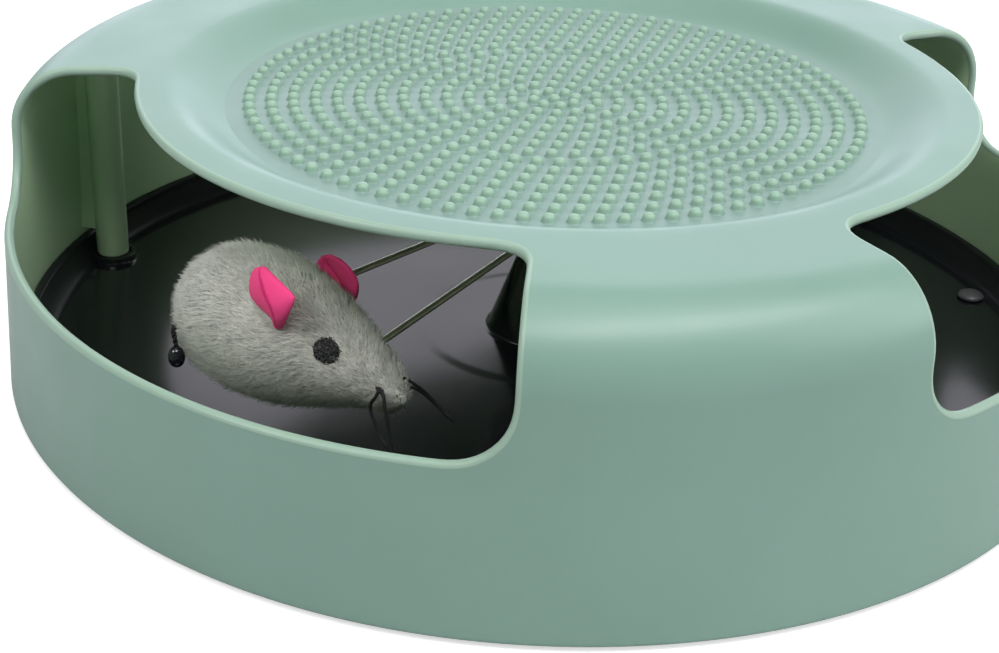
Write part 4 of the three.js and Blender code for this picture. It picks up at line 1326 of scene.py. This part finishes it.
def felt_sheet(middle):
    """A closed felt sheet over a grid of middle points, thinner along its free edge."""
    rows, cols, _ = middle.shape
    out = np.cross(np.gradient(middle, axis=0), np.gradient(middle, axis=1))
    out /= np.linalg.norm(out, axis=2, keepdims=True) + 1e-9
    share = np.ones((rows, cols))
    share[:, (0, -1)] = FELT_EDGE
    share[-1, :] = FELT_EDGE
    half = FELT_THICKNESS / 2 * share[..., None]
    sides = (middle + out * half, middle - out * half)
    points = np.concatenate([spots.reshape(-1, 3) for spots in sides])
    faces, back = [], rows * cols
    for r in range(rows - 1):
        for a in range(r * cols, r * cols + cols - 1):
            faces.append([a, a + cols, a + cols + 1, a + 1])
            faces.append([back + a, back + a + 1, back + a + cols + 1, back + a + cols])
    index = np.arange(back).reshape(rows, cols)
    border = [*index[0], *index[1:, -1], *index[-1, -2::-1], *index[-2:0:-1, 0]]
    for a, b in zip(border, border[1:] + border[:1]):
        faces.append([a, b, back + b, back + a])
    return points, faces


def ear_middle(rows):
    """A grid over the felt, from its left edge over its fold to its right edge, root first."""
    corners = np.array(rows, float)
    corners = seen(corners[..., :2], corners[..., 2])
    lines = np.stack([smooth_path(corners[:, k], 3) for k in range(3)], 1)
    left, fold, right = (lines[:, k, None] for k in range(3))
    share = np.array(LEFT_TO_FOLD)[None, :, None]
    bulge = 0.5 * np.sin(np.pi * share) * np.array(FELT_BULGE)
    return np.concatenate([left + (fold - left) * share + bulge, fold,
                           right + (fold - right) * share[:, ::-1] + bulge[:, ::-1]], 1)


for name, rows in EAR_ROWS.items():
    grid = ear_middle(rows)
    ear = make_piece(f"felt_ear_{name}", to_world(felt_sheet(grid)), felt, smooth_angle=70)
    set_attribute(ear, "felt_painted_shade", "FLOAT", "value", np.tile(FELT_PAINTED_SHADES, 2 * len(grid)))
    rounding = ear.modifiers.new("rounding", "SUBSURF")
    rounding.levels = rounding.render_levels = 1
    finish_piece(ear, "rotor", "pink_felt", f"ear_{name}")


# Whiskers and tail, of black thread: photo pixels and the distance sideways of the spine

NEAR_STRANDS = (
    ((379, 388, -3.2), (378.4, 391.5, -4.6), (375.6, 396.8, -5.4), (371, 403.2, -5.9),
     (370.7, 410.8, -6.0), (373.9, 421, -6.1), (379, 433.8, -6.2), (386, 445.3, -6.3),
     (388.8, 449.5, -6.3)),
    ((380, 389, -3.2), (380.4, 391.5, -4.5), (383.2, 396, -5.0), (385, 408.3, -5.5),
     (387.3, 419.7, -5.8), (388.9, 431.2, -6.0), (390.8, 442, -6.2), (393, 450.4, -6.3)),
)
NEAR_KNOT = ((377, 387, -3.3), (378.6, 390.4, -4.7), (380.4, 392.6, -4.8), (382, 390.5, -3.9))
FAR_STRANDS = (
    ((404, 378, 1.8), (407.6, 379.8, 2.8), (415.4, 384.9, 4.2), (424.3, 391.2, 5.6),
     (432, 398.9, 6.6), (438.3, 405.9, 7.3), (445.4, 413.6, 7.9), (453.6, 421.2, 8.4)),
    ((405, 384, 1.8), (409.4, 386, 2.8), (416, 389, 4.2), (422.4, 393, 5.2), (427, 396.6, 5.9),
     (433, 402.4, 6.7), (440, 409.4, 7.4), (448.4, 417.6, 8.0)),
)
TAIL_POINTS = ((176, 324, -11.5), (173.4, 330, -14.4), (174, 335, -14.9), (175.4, 342, -15.0),
               (176.6, 348.5, -15.0))
BEAD_PLACE = seen((176.6, 356.6), -15.0)
BEAD_HOLE = 0.35
BEAD_ROUND = 1.45
BEAD_LENGTH = 2.25


def thread_path(points, steps=10):
    points = np.array(points, float)
    return smooth_path(seen(points[:, :2], points[:, 2]), steps)


def strand(points, radius, end=1.0):
    """A thread that narrows over its last points to a share of its radius."""
    path = thread_path(points)
    last = len(path) - 1
    return tube(path, radius, 8, np.interp(np.arange(len(path)), (0, last - 6, last), (1, 1, end)))


def twisted_pair(path, radius, gap, turns):
    """Two strands that twist round each other along a path."""
    tangents = unit(np.gradient(path, axis=0))
    side = unit(np.cross(tangents, (0.1, 0.3, 0.9)))
    up = np.cross(tangents, side)
    share = np.linspace(0, 1, len(path))[:, None]
    parts = []
    for start in (0, math.pi):
        angle = start + turns * 2 * math.pi * share
        parts.append(tube(path + gap * (np.cos(angle) * side + np.sin(angle) * up), radius, 8))
    return parts


near_parts = [strand(points, 0.36, 0.5) for points in NEAR_STRANDS]
near_parts += twisted_pair(thread_path(NEAR_KNOT, 6), 0.24, 0.2, 1.5)
far_parts = [strand(points, 0.31) for points in FAR_STRANDS]
tail_parts = twisted_pair(thread_path(TAIL_POINTS), 0.3, 0.26, 3.0)
for name, parts, node in (
    ("thread_near", near_parts, "whisker_near"),
    ("thread_far", far_parts, "whisker_far"),
    ("tail_thread", tail_parts, "tail_cord"),
):
    add_piece(name, to_world(join(parts)), thread_material, "rotor", "black_thread", node,
              smooth_angle=70)

bead_profile = [(0.5, -BEAD_LENGTH - 0.05)]
for angle in np.radians(range(170, 9, -10)):
    bead_profile.append((BEAD_HOLE + BEAD_ROUND * math.sin(angle), BEAD_LENGTH * math.cos(angle)))
bead_profile.append((0.5, BEAD_LENGTH + 0.05))
bead = to_world(place(lathe(bead_profile, 32, True), BEAD_PLACE))
add_piece("bead", bead, bead_material, "rotor", "bead_plastic", "tail_bead", smooth_angle=60)


# Floor, backdrop and light

FLOOR_HALF = 4000
FLOOR_GREY = (0.62, 0.62, 0.62)
FLOOR_DARK = (0.60, 0.605, 0.61)

# How bright the floor glows for the camera, in shares, and at which distances in metres
FLOOR_GLOW = (0.62, 1.0)
GLOW_REACH = (0.4, 1.6)

ROOM_LOW = (0.75, 0.78, 0.80)
ROOM_HIGH = (0.85, 0.90, 0.96)
ROOM_STRENGTH = 0.30
MIRRORED_ROOM = (0.8, 0.85, 0.9)
MIRRORED_STRENGTH = 0.08

# Name, place, size, power and colour of each lamp, in metres and watts
LAMP_TARGET = (0, 0, 0.03)
LAMPS = (
    ("back_low", (0, 1.679, 0.296), (2.3, 0.5), 9.5, (0.81, 0.86, 1)),
    ("back_high", (0, 1.442, 0.931), (2.5, 0.7), 8, (0.93, 0.92, 1)),
    ("top", (0, -0.05, 1.53), (1.0, 1.0), 3.5, (1, 0.97, 0.98)),
    ("front_top", (0.42, -0.46, 1.40), (1.5, 0.45), 17.5, (1, 0.97, 0.98)),
    ("front_left", (-0.90, -0.60, 1.04), (0.6, 0.6), 7.4, (1, 0.98, 0.97)),
    ("right_fill", (1.30, -0.30, 0.734), (1.0, 0.8), 8.5, (1, 1, 1)),
)


def floor_material():
    """A pale floor that shows white in the open and darker in the shadow of the toy."""
    material = new_material("floor", FLOOR_GREY, 0.9, specular=0.1)
    tint(material, noise(material, 6, 2), FLOOR_DARK, FLOOR_GREY)
    bump(material, noise(material, 500, 2), 0.02, 0.0001)
    distance = add_node(material, "ShaderNodeVectorMath", operation="LENGTH")
    link(material, coordinates(material), distance.inputs[0])
    glow = add_node(material, "ShaderNodeEmission", Strength=1.0)
    level = spread(material, distance.outputs["Value"], *GLOW_REACH, *FLOOR_GLOW)
    link(material, level, glow.inputs["Color"])
    both = add_node(material, "ShaderNodeAddShader")
    plain = shader(material).outputs["BSDF"]
    link(material, plain, both.inputs[0])
    link(material, glow.outputs["Emission"], both.inputs[1])
    path = add_node(material, "ShaderNodeLightPath")
    shown = choose(material, path.outputs["Is Camera Ray"], plain, both.outputs["Shader"])
    link(material, shown, material.node_tree.nodes["Material Output"].inputs["Surface"])
    return material


def background(world, colour, strength):
    return add_node(world, "ShaderNodeBackground", Color=(*colour, 1), Strength=strength)


def studio_world():
    """A white backdrop for the camera, a soft room for light and a darker one in mirrorings."""
    world = bpy.data.worlds.new("studio")
    world.use_nodes = True
    bpy.context.scene.world = world
    world.node_tree.nodes.clear()
    split = add_node(world, "ShaderNodeSeparateXYZ")
    link(world, coordinates(world, "Generated"), split.inputs["Vector"])
    lit = background(world, ROOM_HIGH, ROOM_STRENGTH)
    room = ramp(world, split.outputs["Z"], ROOM_LOW, ROOM_HIGH, 0.0, 1.0)
    link(world, room, lit.inputs["Color"])
    mirrored = background(world, MIRRORED_ROOM, MIRRORED_STRENGTH)
    white = background(world, (1, 1, 1), 1.0)
    path = add_node(world, "ShaderNodeLightPath").outputs
    around = choose(world, path["Is Glossy Ray"], lit.outputs[0], mirrored.outputs[0])
    shown = choose(world, path["Is Camera Ray"], around, white.outputs[0])
    link(world, shown, add_node(world, "ShaderNodeOutputWorld").inputs["Surface"])


def soft_light(name, spot, size, power, colour):
    data = bpy.data.lights.new(name, "AREA")
    data.shape = "RECTANGLE"
    data.size, data.size_y = size
    data.energy = power
    data.color = colour
    light = bpy.data.objects.new(name, data)
    light.location = spot
    light.rotation_mode = "QUATERNION"
    light.rotation_quaternion = (Vector(LAMP_TARGET) - Vector(spot)).to_track_quat("-Z", "Y")
    light.visible_camera = False
    bpy.context.scene.collection.objects.link(light)


floor_corners = [(x * FLOOR_HALF, y * FLOOR_HALF, -FOOT_LIFT)
                 for x, y in ((-1, -1), (1, -1), (1, 1), (-1, 1))]
make_piece("studio_floor", (floor_corners, [[0, 1, 2, 3]]), floor_material())
studio_world()
for lamp in LAMPS:
    soft_light(*lamp)
bpy.context.scene.view_settings.view_transform = "Standard"
